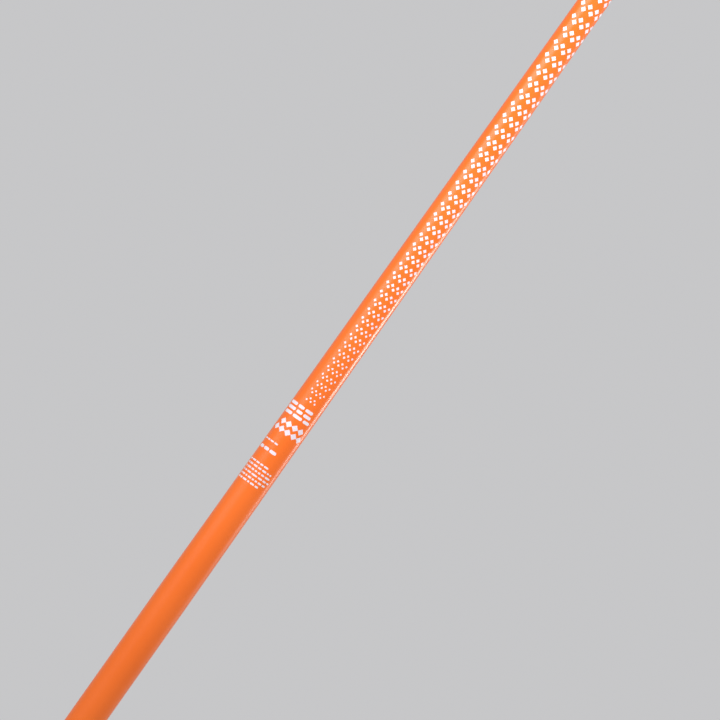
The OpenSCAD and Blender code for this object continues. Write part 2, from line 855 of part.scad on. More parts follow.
// Open ring in the ferrule's groove that keeps the basket on
module basket_clip() {
    opening = 60;
    clip_t = groove_h - 2 * glue_gap;
    inner_r = seat_r - groove_cut + glue_gap;
    outer_r = seat_r + 2.2;
    color("silver")
    rotate([0, 0, -90 + opening / 2])
    rotate_extrude(angle = 360 - opening)
    polygon([
        [inner_r, groove_z + glue_gap],
        [outer_r - 0.4, groove_z + glue_gap],
        [outer_r, groove_z + glue_gap + 0.4],
        [outer_r, groove_z + glue_gap + clip_t - 0.4],
        [outer_r - 0.4, groove_z + glue_gap + clip_t],
        [inner_r, groove_z + glue_gap + clip_t]
    ]);
}

shaft_tube();
shaft_plug();
grip_core();
grip_sleeve();
pommel_cap();
strap_pin();
strap_wedge();
strap_inner();
strap_webbing();
strap_tail();
strap_end_tab();
strap_pad();
strap_bartacks();
strap_keeper();
ferrule();
tip_holder();
tip_insert();
basket_hub();
basket_disc();
basket_clip();
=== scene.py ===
"""Looks of a fixed-length ski pole: lacquered and printed shaft, two-part grip, wrist strap, basket and tip.

Lengths are in millimetres inside the mesh code, and build() turns them into metres. The frame is the
CAD model's: +Z up the shaft, the fingers on +Y, the palm and the strap on -Y.
"""

import json
import math
import random

import bmesh
import bpy
from mathutils import Matrix, Vector


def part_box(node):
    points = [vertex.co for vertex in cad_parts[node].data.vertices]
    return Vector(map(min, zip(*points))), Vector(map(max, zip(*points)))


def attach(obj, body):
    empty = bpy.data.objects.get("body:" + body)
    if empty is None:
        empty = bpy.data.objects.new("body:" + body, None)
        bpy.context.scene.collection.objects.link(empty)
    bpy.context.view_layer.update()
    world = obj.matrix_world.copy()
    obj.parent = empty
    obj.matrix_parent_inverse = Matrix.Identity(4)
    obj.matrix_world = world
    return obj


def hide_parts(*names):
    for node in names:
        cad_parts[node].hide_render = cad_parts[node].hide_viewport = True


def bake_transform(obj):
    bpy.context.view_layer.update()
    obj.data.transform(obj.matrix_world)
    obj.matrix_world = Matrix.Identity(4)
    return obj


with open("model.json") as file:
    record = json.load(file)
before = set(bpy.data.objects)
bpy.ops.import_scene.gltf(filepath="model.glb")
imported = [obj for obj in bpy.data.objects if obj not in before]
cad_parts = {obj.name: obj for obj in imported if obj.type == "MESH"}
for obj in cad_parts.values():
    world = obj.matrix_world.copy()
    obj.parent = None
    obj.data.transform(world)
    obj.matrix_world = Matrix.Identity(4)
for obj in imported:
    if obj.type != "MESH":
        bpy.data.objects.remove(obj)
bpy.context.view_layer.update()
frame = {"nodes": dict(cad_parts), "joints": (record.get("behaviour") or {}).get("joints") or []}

MM = 0.001
JOINTS = {joint["name"]: joint for joint in frame["joints"]}


# ---- Sizes, from the frame or as in the CAD source ----

def box_mm(node):
    """Lowest and highest corner of a CAD node, in millimetres."""
    low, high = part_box(node)
    return low / MM, high / MM


SHAFT_LOW, SHAFT_HIGH = box_mm("shaft_tube")
CORE_LOW, CORE_HIGH = box_mm("grip_core")
SLEEVE_LOW, SLEEVE_HIGH = box_mm("grip_sleeve")
FERRULE_LOW, FERRULE_HIGH = box_mm("ferrule")
HUB_LOW, HUB_HIGH = box_mm("basket_hub")
DISC_LOW, DISC_HIGH = box_mm("basket_disc")
WEDGE_LOW, WEDGE_HIGH = box_mm("strap_wedge")
PIN_LOW, PIN_HIGH = box_mm("strap_pin")
TIP_LOW, TIP_HIGH = box_mm("tip_insert")
HINGE = Vector(JOINTS["strap_swing"]["pos_m"]) / MM

# Shaft
SHAFT_R = SHAFT_HIGH.x
SHAFT_END_R = 5.5
WALL = 1.0
LACQUER = 0.05
LACQUER_REACH = 0.8
MOUTH_Z = CORE_LOW.z
TAPER_Z = MOUTH_Z - 200.0

# Grip
CORE_R = 11.5
BORE_R = 9.05
SLEEVE_TOP = 52.0
POMMEL_WIDE = SLEEVE_TOP + 18.0
DOME_H = 16.0
POMMEL_TOP = POMMEL_WIDE + DOME_H
SIDE, FRONT, REAR = 2.2, 3.6, 3.2            # thickness of the sleeve round the core
POMMEL_SIDE, POMMEL_FRONT, POMMEL_REAR = 5.6, 8.0, 8.2
PALM_SWELL = 2.2
GROOVE_DEPTH = 1.9
FINGER_PITCH = 22.0
TOP_GROOVE = SLEEVE_TOP - 17.0
GROOVES = 4
PIN_Y = (PIN_LOW.y + PIN_HIGH.y) / 2
PIN_Z = (PIN_LOW.z + PIN_HIGH.z) / 2
PIN_R = (PIN_HIGH.z - PIN_LOW.z) / 2
SLOT_HALF_H = 3.3
SLOT_HALF_W = 10.75

# Strap
WEBBING_W = 20.0
WEBBING_T = 1.4
LAYER_PITCH = 1.5                            # distance between layers that lie on each other
DROP = 170.0
BEND_R = 27.0
BEND_TURN = 172.0
RETURN_HEAD = 205.0
TAIL_LENGTH = 60.0
PAD_W = 30.0
PAD_T = 2.6
PAD_REACH = 42.0


# ---- Mesh helpers ----

def build(name, points, faces, material, angle=35.0, weave=None):
    """New object from points in millimetres. Edges that turn by more than the angle stay sharp.

    weave holds each point's place on a cloth (across, along), which the cloth's material reads.
    """
    mesh = bpy.data.meshes.new(name)
    mesh.from_pydata([Vector(p) * MM for p in points], [], faces)
    if weave:
        attribute = mesh.attributes.new("weave", "FLOAT_VECTOR", "POINT")
        attribute.data.foreach_set("vector", [c * MM for across, along in weave for c in (across, along, 0)])
    return finish_mesh(name, mesh, material, angle)


def finish_mesh(name, mesh, material, angle=35.0):
    """Object of a mesh that is welded, turned outwards and smoothed up to an angle."""
    work = bmesh.new()
    work.from_mesh(mesh)
    bmesh.ops.remove_doubles(work, verts=work.verts, dist=1e-6)
    bmesh.ops.dissolve_degenerate(work, dist=1e-7, edges=work.edges)
    bmesh.ops.recalc_face_normals(work, faces=work.faces)
    work.to_mesh(mesh)
    work.free()
    mesh.materials.clear()
    mesh.materials.append(material)
    mesh.shade_smooth()
    mesh.set_sharp_from_angle(angle=math.radians(angle))
    obj = bpy.data.objects.new(name, mesh)
    bpy.context.scene.collection.objects.link(obj)
    return obj


def grid_faces(rings, sides, closed=False):
    """Quads over rings of points. closed joins the last ring to the first."""
    faces = []
    for k in range(rings if closed else rings - 1):
        for i in range(sides):
            j = (i + 1) % sides
            above = (k + 1) % rings * sides
            faces.append((k * sides + i, k * sides + j, above + j, above + i))
    return faces


def loft(name, rings, material, angle=35.0, weave=None):
    """Closed skin through rings of points, with a flat cap on each end."""
    sides = len(rings[0])
    points = [p for ring in rings for p in ring]
    first = tuple(reversed(range(sides)))
    last = tuple(range(len(points) - sides, len(points)))
    return build(name, points, grid_faces(len(rings), sides) + [first, last], material, angle, weave)


def refined(profile, step):
    """A profile with extra points, so that none of its stretches is longer than step."""
    points = []
    for (r0, z0), (r1, z1) in zip(profile, profile[1:]):
        count = max(1, math.ceil(math.hypot(r1 - r0, z1 - z0) / step))
        points += [(r0 + (r1 - r0) * i / count, z0 + (z1 - z0) * i / count) for i in range(count)]
    return points + [profile[-1]]


def turned(name, profile, material, sides=128, angle=35.0, shape=None):
    """Solid of revolution about Z. A profile of (radius, z) that doesn't end on the axis is closed.

    shape(r, z, turn) may change a radius, where turn goes from 0 to 1 round the axis.
    """
    closed = profile[0][0] > 0 or profile[-1][0] > 0
    points = []
    for r, z in profile:
        for i in range(sides):
            turn = i / sides
            radius = shape(r, z, turn) if shape else r
            points.append((radius * math.cos(math.tau * turn), radius * math.sin(math.tau * turn), z))
    return build(name, points, grid_faces(len(profile), sides, closed), material, angle)


def prism(name, outline, half_width, material):
    """An outline in (y, z) turned into a solid across X."""
    rings = [[(x, y, z) for y, z in outline] for x in (-half_width, half_width)]
    return loft(name, rings, material)


def rod(name, start, end, radius, material, sides=64):
    """A cylinder between two points, used to cut a hole."""
    start, end = Vector(start), Vector(end)
    turn = (end - start).to_track_quat("Z", "Y")
    spokes = [
        turn @ Vector((radius * math.cos(math.tau * i / sides), radius * math.sin(math.tau * i / sides), 0))
        for i in range(sides)
    ]
    return loft(name, [[start + s for s in spokes], [end + s for s in spokes]], material)


def combine(obj, tools, operation, material, angle=35.0):
    """Applies a boolean with each tool in turn, and removes the tools."""
    for tool in tools:
        modifier = obj.modifiers.new("combine", "BOOLEAN")
        modifier.operation = operation
        modifier.solver = "EXACT"
        modifier.object = tool
        scene_graph = bpy.context.evaluated_depsgraph_get()
        result = bpy.data.meshes.new_from_object(obj.evaluated_get(scene_graph))
        obj.modifiers.clear()
        obj.data = result
        bpy.data.objects.remove(tool)
    name, mesh = obj.name, obj.data
    bpy.data.objects.remove(obj)
    return finish_mesh(name, mesh, material, angle)


class Heap:
    """Many small closed solids that become one object."""

    def __init__(self):
        self.points = []
        self.faces = []

    def add(self, points, faces):
        first = len(self.points)
        self.points += points
        self.faces += [tuple(first + i for i in face) for face in faces]

    def strand(self, start, end, radius, sides=6):
        """A short rounded piece of thread between two points."""
        start, end = Vector(start), Vector(end)
        axis = (end - start).normalized()
        turn = axis.to_track_quat("Z", "Y")
        ends = [(0.0, 0.35), (0.25, 0.8), (0.8, 1.0)]
        length = (end - start).length
        rings = [(at * radius, size) for at, size in ends]
        rings += [(length - at * radius, size) for at, size in reversed(ends)]
        points = [
            start + axis * at + turn @ Vector(
                (size * radius * math.cos(math.tau * i / sides), size * radius * math.sin(math.tau * i / sides), 0)
            )
            for at, size in rings for i in range(sides)
        ]
        caps = [tuple(reversed(range(sides))), tuple(range(len(points) - sides, len(points)))]
        self.add(points, grid_faces(len(rings), sides) + caps)

    def finish(self, name, material, angle=35.0):
        return build(name, self.points, self.faces, material, angle)


def place(obj, body, slot, *nodes):
    """Rides the piece on its body and hides the CAD nodes that it stands for. The slot argument is not used."""
    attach(obj, body)
    if nodes:
        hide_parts(*nodes)
    return obj


# ---- Small functions ----

def signed_power(value, power):
    return math.copysign(abs(value) ** power, value)


def rise(x, a, b):
    """0 below a, 1 above b, and a smooth rise between them."""
    u = min(1.0, max(0.0, (x - a) / (b - a)))
    return u * u * (3 - 2 * u)


def hump(x, centre, half):
    """1 at the centre, falling smoothly to 0 at a distance of half on either side."""
    return 0.0 if abs(x - centre) >= half else (1 + math.cos(math.pi * (x - centre) / half)) / 2


def window(x, low, high, fade):
    """1 between low and high, fading to 0 over fade outside them."""
    return rise(x, low - fade, low) * (1 - rise(x, high, high + fade))


# ---- Materials ----

def ramp_between(nodes, links, value, low_colour, high_colour, low_at=0.35, high_at=0.65):
    """A colour that goes from one to another as value goes from low_at to high_at."""
    ramp = nodes.new("ShaderNodeValToRGB")
    ramp.color_ramp.elements[0].position = low_at
    ramp.color_ramp.elements[0].color = (*low_colour, 1)
    ramp.color_ramp.elements[1].position = high_at
    ramp.color_ramp.elements[1].color = (*high_colour, 1)
    links.new(value, ramp.inputs["Fac"])
    return ramp.outputs["Color"]


def noise(nodes, links, vector, scale, detail=3.0, roughness=0.5):
    texture = nodes.new("ShaderNodeTexNoise")
    texture.inputs["Scale"].default_value = scale
    texture.inputs["Detail"].default_value = detail
    texture.inputs["Roughness"].default_value = roughness
    links.new(vector, texture.inputs["Vector"])
    return texture.outputs["Fac"]


def stretched(nodes, links, vector, scale):
    """Coordinates scaled by a different number along each axis."""
    mapping = nodes.new("ShaderNodeMapping")
    mapping.inputs["Scale"].default_value = scale
    links.new(vector, mapping.inputs["Vector"])
    return mapping.outputs["Vector"]


def maths(nodes, links, operation, first, second=None):
    node = nodes.new("ShaderNodeMath")
    node.operation = operation
    for socket, value in zip(node.inputs, (first, second)):
        if isinstance(value, (int, float)):
            socket.default_value = value
        elif value is not None:
            links.new(value, socket)
    return node.outputs["Value"]


def bump(nodes, links, bsdf, height, strength, depth_mm, edge_mm=0.0):
    """Relief from a height. edge_mm also rounds the look of sharp edges."""
    node = nodes.new("ShaderNodeBump")
    if edge_mm:
        edge = nodes.new("ShaderNodeBevel")
        edge.samples = 6
        edge.inputs["Radius"].default_value = edge_mm * MM
        links.new(edge.outputs["Normal"], node.inputs["Normal"])
    node.inputs["Strength"].default_value = strength
    node.inputs["Distance"].default_value = depth_mm * MM
    links.new(height, node.inputs["Height"])
    links.new(node.outputs["Normal"], bsdf.inputs["Normal"])


def moulded(name, dark, light, roughness, grain_mm=0.5, grain_depth=0.03, metallic=0.0, coat=0.0,
            specular=0.5, sheen=0.0, stretch=(1, 1, 1), patch_mm=18.0, rough_spread=0.12, edge_mm=0.0):
    """Plastic, rubber, lacquer or metal: patches between two near colours, a fine grain and uneven gloss."""
    material = bpy.data.materials.new(name)
    material.use_nodes = True
    nodes, links = material.node_tree.nodes, material.node_tree.links
    bsdf = nodes["Principled BSDF"]
    bsdf.inputs["Metallic"].default_value = metallic
    bsdf.inputs["Coat Weight"].default_value = coat
    bsdf.inputs["Coat Roughness"].default_value = 0.07
    bsdf.inputs["Specular IOR Level"].default_value = specular
    bsdf.inputs["Sheen Weight"].default_value = sheen
    where = nodes.new("ShaderNodeTexCoord").outputs["Object"]
    patches = noise(nodes, links, where, 1 / (patch_mm * MM), 4.0)
    grain = noise(nodes, links, stretched(nodes, links, where, stretch), 1 / (grain_mm * MM), 2.0)
    links.new(ramp_between(nodes, links, patches, dark, light), bsdf.inputs["Base Color"])
    spread = maths(nodes, links, "MULTIPLY_ADD", patches, rough_spread)
    spread.node.inputs[2].default_value = roughness - rough_spread / 2
    links.new(spread, bsdf.inputs["Roughness"])
    bump(nodes, links, bsdf, grain, 0.6, grain_depth, edge_mm)
    return material


def woven(name, dark, light, across_mm, along_mm, depth_mm, twill=1.0):
    """Cloth whose threads follow the strap: its 'weave' attribute holds (across, along) in metres."""
    material = bpy.data.materials.new(name)
    material.use_nodes = True
    nodes, links = material.node_tree.nodes, material.node_tree.links
    bsdf = nodes["Principled BSDF"]
    bsdf.inputs["Roughness"].default_value = 0.85
    bsdf.inputs["Sheen Weight"].default_value = 0.25
    bsdf.inputs["Specular IOR Level"].default_value = 0.25
    where = nodes.new("ShaderNodeAttribute")
    where.attribute_name = "weave"
    split = nodes.new("ShaderNodeSeparateXYZ")
    links.new(where.outputs["Vector"], split.inputs["Vector"])
    across = maths(nodes, links, "MULTIPLY", split.outputs["X"], math.tau / (across_mm * MM))
    along = maths(nodes, links, "MULTIPLY", split.outputs["Y"], math.tau / (along_mm * MM))
    # herringbone: the diagonal changes its side with each wide stripe of warp threads
    folded = maths(nodes, links, "PINGPONG", split.outputs["X"], 2.5 * MM)
    diagonal = maths(nodes, links, "MULTIPLY", folded, twill * math.tau / (across_mm * MM))
    ridge = maths(nodes, links, "SINE", maths(nodes, links, "ADD", along, diagonal))
    thread = maths(nodes, links, "SINE", across)
    height = maths(nodes, links, "ADD", maths(nodes, links, "MULTIPLY", ridge, 0.6), thread)
    fuzz = noise(nodes, links, where.outputs["Vector"], 1 / (0.35 * MM), 2.0)
    # base colour: painted shade, darker in the troughs between threads where the weave's height is low, plus
    # random tone from the fuzz noise
    painted_weave_shade_and_fuzz = maths(nodes, links, "ADD", maths(nodes, links, "MULTIPLY", height, 0.18), fuzz)
    links.new(ramp_between(nodes, links, painted_weave_shade_and_fuzz, dark, light, 0.3, 0.8), bsdf.inputs["Base Color"])
    bump(nodes, links, bsdf, maths(nodes, links, "ADD", height, fuzz), 0.8, depth_mm)
    return material


lacquer_orange = moulded("lacquer_orange", (0.96, 0.172, 0.017), (0.98, 0.186, 0.023), 0.3, grain_mm=1.6,
                         grain_depth=0.002, specular=0.36, patch_mm=60.0, rough_spread=0.04, stretch=(1, 1, 0.4))
print_white = moulded("print_white", (0.83, 0.75, 0.84), (0.9, 0.83, 0.9), 0.42, grain_mm=0.3,
                      grain_depth=0.01, patch_mm=9.0)
plug_white = moulded("plug_white", (0.62, 0.61, 0.57), (0.72, 0.71, 0.66), 0.5)
grip_hard = moulded("grip_hard", (0.012, 0.012, 0.013), (0.02, 0.02, 0.022), 0.4, grain_mm=0.45,
                    grain_depth=0.03, specular=0.4, edge_mm=0.35)
grip_soft = moulded("grip_soft", (0.014, 0.014, 0.015), (0.025, 0.025, 0.027), 0.66, grain_mm=0.3,
                    grain_depth=0.05, specular=0.3, sheen=0.08)
cap_grey = moulded("cap_grey", (0.05, 0.052, 0.056), (0.075, 0.077, 0.082), 0.36, grain_mm=0.4,
                   edge_mm=0.35)
accent_orange = moulded("accent_orange", (0.88, 0.145, 0.02), (0.95, 0.175, 0.028), 0.4, grain_mm=0.4,
                        grain_depth=0.02, edge_mm=0.35)
strap_cloth = woven("strap_cloth", (0.02, 0.021, 0.024), (0.075, 0.077, 0.085), 0.9, 1.3, 0.12)
pad_cloth = woven("pad_cloth", (0.05, 0.056, 0.066), (0.12, 0.13, 0.15), 0.7, 0.7, 0.08, twill=0.4)
thread_orange = moulded("thread_orange", (0.7, 0.12, 0.025), (0.92, 0.2, 0.05), 0.6, grain_mm=0.15,
                        grain_depth=0.04, patch_mm=2.0, sheen=0.3)
strap_plastic = moulded("strap_plastic", (0.013, 0.013, 0.014), (0.024, 0.024, 0.026), 0.45, grain_mm=0.4,
                        specular=0.4)
ferrule_nylon = moulded("ferrule_nylon", (0.013, 0.013, 0.014), (0.026, 0.026, 0.028), 0.42, grain_mm=0.5,
                        grain_depth=0.04, specular=0.4, edge_mm=0.25)
basket_hard = moulded("basket_hard", (0.015, 0.015, 0.016), (0.027, 0.027, 0.029), 0.44, grain_mm=0.5,
                      specular=0.4, edge_mm=0.25)
basket_soft = moulded("basket_soft", (0.017, 0.017, 0.018), (0.032, 0.032, 0.034), 0.58, grain_mm=0.6,
                      grain_depth=0.05, specular=0.35)
steel = moulded("steel", (0.48, 0.48, 0.49), (0.62, 0.62, 0.62), 0.3, grain_mm=0.4, grain_depth=0.006,
                metallic=1.0, stretch=(1, 1, 0.06))
carbide = moulded("carbide", (0.2, 0.2, 0.21), (0.32, 0.32, 0.33), 0.42, grain_mm=0.2, grain_depth=0.02,
                  metallic=1.0)


# ---- Shaft ----

def shaft_radius(z):
    """Outer radius of the lacquered shaft."""
    if z >= TAPER_Z:
        return SHAFT_R
    return SHAFT_R - (SHAFT_R - SHAFT_END_R) * (TAPER_Z - z) / (TAPER_Z - SHAFT_LOW.z)


def make_shaft():
    bare_r = SHAFT_R - LACQUER
    outside = [
        (bare_r, SHAFT_HIGH.z - 0.2), (bare_r, MOUTH_Z + LACQUER_REACH), (SHAFT_R, MOUTH_Z),
        (SHAFT_R, TAPER_Z), (SHAFT_END_R, SHAFT_LOW.z + 0.2),
    ]
    inside = [
        (SHAFT_END_R - 0.2, SHAFT_LOW.z), (SHAFT_END_R - WALL, SHAFT_LOW.z),
        (SHAFT_R - WALL, TAPER_Z), (SHAFT_R - WALL, SHAFT_HIGH.z), (bare_r - 0.2, SHAFT_HIGH.z),
        (bare_r, SHAFT_HIGH.z - 0.2),
    ]
    profile = refined(outside + inside, 30.0)[:-1]
    place(turned("shaft", profile, lacquer_orange, sides=160), "pole", "lacquer_orange", "shaft_tube")


# ---- Print on the shaft ----

INK = 0.03          # how far the ink stands above the lacquer
INK_ROOT = 0.03     # how far its solid reaches into it
PRINT_START = 125.0  # distance of the field's first row below the start of the taper
PRINT_END = 712.0


def ink_mark(heap, below, angle, half_w, half_h, columns):
    """A mark on the shaft: below the start of the taper, at an angle from +X towards -Y.

    columns are (share of half_w, share of half_h), from the left end to the right.
    """
    z_mid = TAPER_Z - below
    radius = shaft_radius(z_mid)
    points = []
    for lift in (INK, -INK_ROOT):
        for side in (1, -1):
            for across, height in columns:
                z = z_mid + side * height * half_h
                r = shaft_radius(z) + lift
                a = math.radians(angle) + across * half_w / radius
                points.append((r * math.cos(a), -r * math.sin(a), z))
    n = len(columns)
    faces = []
    for i in range(n - 1):
        j = i + 1
        faces += [
            (i, j, n + j, n + i),                              # face of the ink
            (2 * n + i, 3 * n + i, 3 * n + j, 2 * n + j),      # root
            (i, 2 * n + i, 2 * n + j, j),                      # upper edge
            (n + i, n + j, 3 * n + j, 3 * n + i),              # lower edge
        ]
    faces += [(0, n, 3 * n, 2 * n), (n - 1, 3 * n - 1, 4 * n - 1, 2 * n - 1)]
    heap.add(points, faces)


LOZENGE = [(-1, 0.04), (-0.5, 0.5), (0, 1), (0.5, 0.5), (1, 0.04)]


def bar_columns(half_w, half_h):
    """Columns of a bar with round ends, close enough together to follow the shaft's curve."""
    straight = 1 - half_h / half_w
    steps = 5
    arc = [math.pi / 2 * i / steps for i in range(steps + 1)]
    right = [(straight + (1 - straight) * math.sin(a), max(0.05, math.cos(a))) for a in arc]
    count = math.ceil(2 * half_w * straight / 0.7)
    middle = [(straight * (2 * i / count - 1), 1) for i in range(1, count)]
    left = [(-x, h) for x, h in reversed(right)]
    return left + middle + right


def bar_row(heap, draw, below, start, end, height, shortest, longest, gap):
    """A row of bars of uneven length, from one angle to another, that stands in for a line of print."""
    radius = shaft_radius(TAPER_Z - below)
    at = math.radians(start) * radius
    stop = math.radians(end) * radius
    while at + shortest < stop:
        length = min(draw.uniform(shortest, longest), stop - at)
        middle = math.degrees((at + length / 2) / radius)
        ink_mark(heap, below, middle, length / 2, height / 2, bar_columns(length / 2, height / 2))
        at += length + gap


def lozenge_field(heap):
    """Pairs of staggered rows of lozenges that grow and spread round the shaft towards the tip."""
    below = PRINT_START
    row = 0
    while below < PRINT_END:
        grown = below - PRINT_START
        columns = 17.0 + 20.0 * min(1.0, grown / 260.0)   # degrees between columns
        pitch = shaft_radius(TAPER_Z - below) * math.radians(columns)
        size = pitch * (0.46 + 0.16 * rise(grown, 0, 120))
        half_spread = 21.0 + 2.8 * math.sqrt(grown)       # degrees on either side of the field's middle
        middle = 1.25 * math.sqrt(grown)
        shift = columns / 2 if row % 2 else 0.0
        reach = math.ceil(half_spread / columns)
        for k in range(-reach, reach + 1):
            angle = k * columns + shift
            if abs(angle) <= half_spread:
                ink_mark(heap, below, middle + angle, size / 2, size * 0.56, LOZENGE)
        below += pitch * (1.2 if row % 2 else 0.6)        # each pair is followed by a bare row
        row += 1


def make_print():
    draw = random.Random(7)
    heap = Heap()
    for line in range(6):
        end = (30, 44, 52, 50, 46, 22)[line]
        bar_row(heap, draw, 73.2 + 2.2 * line, -73, end, 0.95, 1.1, 3.6, 0.55)
    bar_row(heap, draw, 92.5, -73, 8, 1.7, 2.8, 4.6, 0.6)
    bar_row(heap, draw, 97.2, -73, 0, 0.85, 1.4, 2.8, 0.5)
    # bold band: two rows of large lozenges, then two rows of blocks
    for row, (below, count) in enumerate(((105.2, 5), (109.2, 4))):
        for k in range(count):
            ink_mark(heap, below, (k - (count - 1) / 2) * 26.0 - 4, 1.9, 1.9, LOZENGE)
    bar_row(heap, draw, 114.6, -72, 66, 1.7, 3.2, 6.5, 0.8)
    bar_row(heap, draw, 117.4, -72, 52, 1.7, 3.2, 6.5, 0.8)
    bar_row(heap, draw, 120.2, -72, 34, 1.7, 3.2, 6.5, 0.8)
    lozenge_field(heap)
    place(heap.finish("shaft_print", print_white), "pole", "print_white")


# ---- Grip ----

SECTION_POWER = 2.5
GRIP_SIDES = 144


def section(z, half, front, rear, sides=GRIP_SIDES, power=SECTION_POWER):
    """One ring of the grip: half-width, reach to the front and reach to the rear."""
    ring = []
    for i in range(sides):
        a = math.tau * i / sides
        x = half * signed_power(math.cos(a), 2 / power)
        y = signed_power(math.sin(a), 2 / power) * (front if math.sin(a) > 0 else rear)
        ring.append(Vector((x, y, z)))
    return ring


def groove_at(z):
    """1 in the middle of a finger groove and 0 between two of them."""
    bottom_groove = TOP_GROOVE - (GROOVES - 1) * FINGER_PITCH
    if z > TOP_GROOVE + FINGER_PITCH / 2 or z < bottom_groove - FINGER_PITCH / 2:
        return 0.0
    return (1 + math.cos(math.tau * (z - TOP_GROOVE) / FINGER_PITCH)) / 2


def pommel_ring(z, share=1.0):
    """Ring of the pommel at a height z below its widest place, or a share of the widest ring."""
    grown = rise(z, SLEEVE_TOP, POMMEL_WIDE)
    half = CORE_R + SIDE + (POMMEL_SIDE - SIDE) * grown
    front = CORE_R + FRONT + (POMMEL_FRONT - FRONT) * grown
    rear = CORE_R + REAR + (POMMEL_REAR - REAR) * grown
    return section(z, share * half, share * front, share * rear)


def pommel_rings():
    """Rings of the pommel, from its foot over the flare and the dome to the top."""
    flare_steps, dome_steps = 16, 22
    rings = [pommel_ring(SLEEVE_TOP + (POMMEL_WIDE - SLEEVE_TOP) * k / flare_steps) for k in range(flare_steps)]
    for k in range(dome_steps + 1):
        a = math.radians(86.0 * k / dome_steps)
        z = POMMEL_WIDE + DOME_H * math.sin(a) ** (2 / 2.6)
        ring = pommel_ring(POMMEL_WIDE, math.cos(a) ** (2 / 2.2))
        rings.append([Vector((p.x, p.y, z)) for p in ring])
    return rings


def wedge_outline(gap, foot):
    """Outline of the wedge, or of its pocket, in (y, z)."""
    front = PIN_Y - (PIN_R + 0.05 + 2 * WEBBING_T) - 0.5
    back = front - 9.6
    return [(front + gap, 95.0), (front + gap - 0.3, foot), (back - gap + 1.0, foot), (back - gap, 95.0)]


CAP_R = 8.0
CAP_Y = wedge_outline(0, 0)[0][0] + 0.2 + 2.4 + CAP_R
CAP_SEAT = POMMEL_TOP - 6.5


def make_core():
    """Hard core in one skin, from the collar up the tube to the pommel, and its cuts."""
    sleeve_bottom = -SLEEVE_TOP
    rim_r, lip_r = CORE_R + 5.8, 1.6
    lip = [math.radians(a) for a in range(-45, 76, 15)]
    collar = [(CORE_R - 0.9, MOUTH_Z), (CORE_R - 0.6, MOUTH_Z + 0.1), (CORE_R + 0.4, MOUTH_Z + 2)]
    collar += [(rim_r - lip_r + lip_r * math.cos(a), sleeve_bottom - lip_r + lip_r * math.sin(a)) for a in lip]
    collar += [(rim_r - lip_r, sleeve_bottom), (CORE_R, sleeve_bottom), (CORE_R, SLEEVE_TOP)]
    rings = [section(z, r, r, r, power=2.0) for r, z in refined(collar, 8.0)]
    core = loft("grip_core_hard", rings + pommel_rings(), grip_hard)
    floor, roof = PIN_Z - SLOT_HALF_H, PIN_Z + SLOT_HALF_H
    lip_steps, lip_size = 5, 1.6
    eye = [math.radians(a) for a in range(-140, 141, 10)]
    slot = [(-40.0, floor - lip_size), (-15.5 - lip_size, floor - lip_size)]
    for k in range(1, lip_steps + 1):
        a = math.pi / 2 * k / lip_steps
        slot.append((-15.5 - lip_size * math.cos(a), floor - lip_size * (1 - math.sin(a))))
    slot += [(PIN_Y + 5.35 * math.cos(a), PIN_Z + 5.35 * math.sin(a)) for a in eye]
    slot += [(-15.5, roof), (-40.0, roof)]
    cutters = [
        rod("cut_bore", (0, 0, MOUTH_Z - 5), (0, 0, SLEEVE_TOP + 2.1), BORE_R, grip_hard, 96),
        prism("cut_slot", slot, SLOT_HALF_W, grip_hard),
        rod("cut_pin", (-40, PIN_Y, PIN_Z), (40, PIN_Y, PIN_Z), PIN_R + 0.05, grip_hard, 40),
        prism("cut_pocket", wedge_outline(0.2, PIN_Z + SLOT_HALF_H - 0.5), 8.2, grip_hard),
        rod("cut_cap", (0, CAP_Y, CAP_SEAT), (0, CAP_Y, 100), CAP_R + 0.05, grip_hard, 96),
    ]
    core = combine(core, cutters, "DIFFERENCE", grip_hard)
    place(core, "pole", "grip_hard", "grip_core")


def make_cap():
    """Round cap in the pommel's top, with a shallow dish and a ring groove round it."""
    cap = rod("pommel_cap_round", (0, CAP_Y, CAP_SEAT), (0, CAP_Y, 100), CAP_R - 0.12, cap_grey, 96)
    cap = combine(cap, [loft("pommel_form", pommel_rings(), cap_grey)], "INTERSECT", cap_grey)
    dish_r, dish_depth = 24.0, 0.8
    top = max(v.co.z for v in cap.data.vertices) / MM
    ball = [(dish_r * math.sin(math.pi * k / 24), -dish_r * math.cos(math.pi * k / 24)) for k in range(25)]
    dish = turned("cut_dish", ball, cap_grey, sides=96)
    dish.data.transform(Matrix.Translation(Vector((0, CAP_Y, top - dish_depth + dish_r - 0.4)) * MM))
    cap = combine(cap, [dish], "DIFFERENCE", cap_grey)
    place(cap, "pole", "pommel_cap", "pommel_cap")


def make_wedge():
    """Wedge with teeth on its foot and a notch for a fingernail on its top."""
    foot = PIN_Z + SLOT_HALF_H - 0.5 + 0.3
    wedge = prism("strap_wedge_orange", wedge_outline(0, foot), 8.0, accent_orange)
    wedge = combine(wedge, [loft("pommel_form", pommel_rings(), accent_orange)], "INTERSECT", accent_orange)
    front = wedge_outline(0, foot)[0][0]
    cutters = []
    for k in range(4):
        y, tooth = front - 1.6 - 2.0 * k, 0.566
        outline = [(y, foot + tooth), (y + tooth, foot), (y + tooth, foot - 1), (y - tooth, foot - 1),
                   (y - tooth, foot)]
        cutters.append(prism("cut_tooth", outline, 12.0, accent_orange))
    notch_y, notch_z = front - 5.28, POMMEL_TOP - 1.1
    cutters.append(rod("cut_notch", (-5, notch_y, notch_z), (5, notch_y, notch_z), 1.5, accent_orange, 48))
    wedge = combine(wedge, cutters, "DIFFERENCE", accent_orange)
    place(wedge, "wedge", "accent_orange", "strap_wedge")


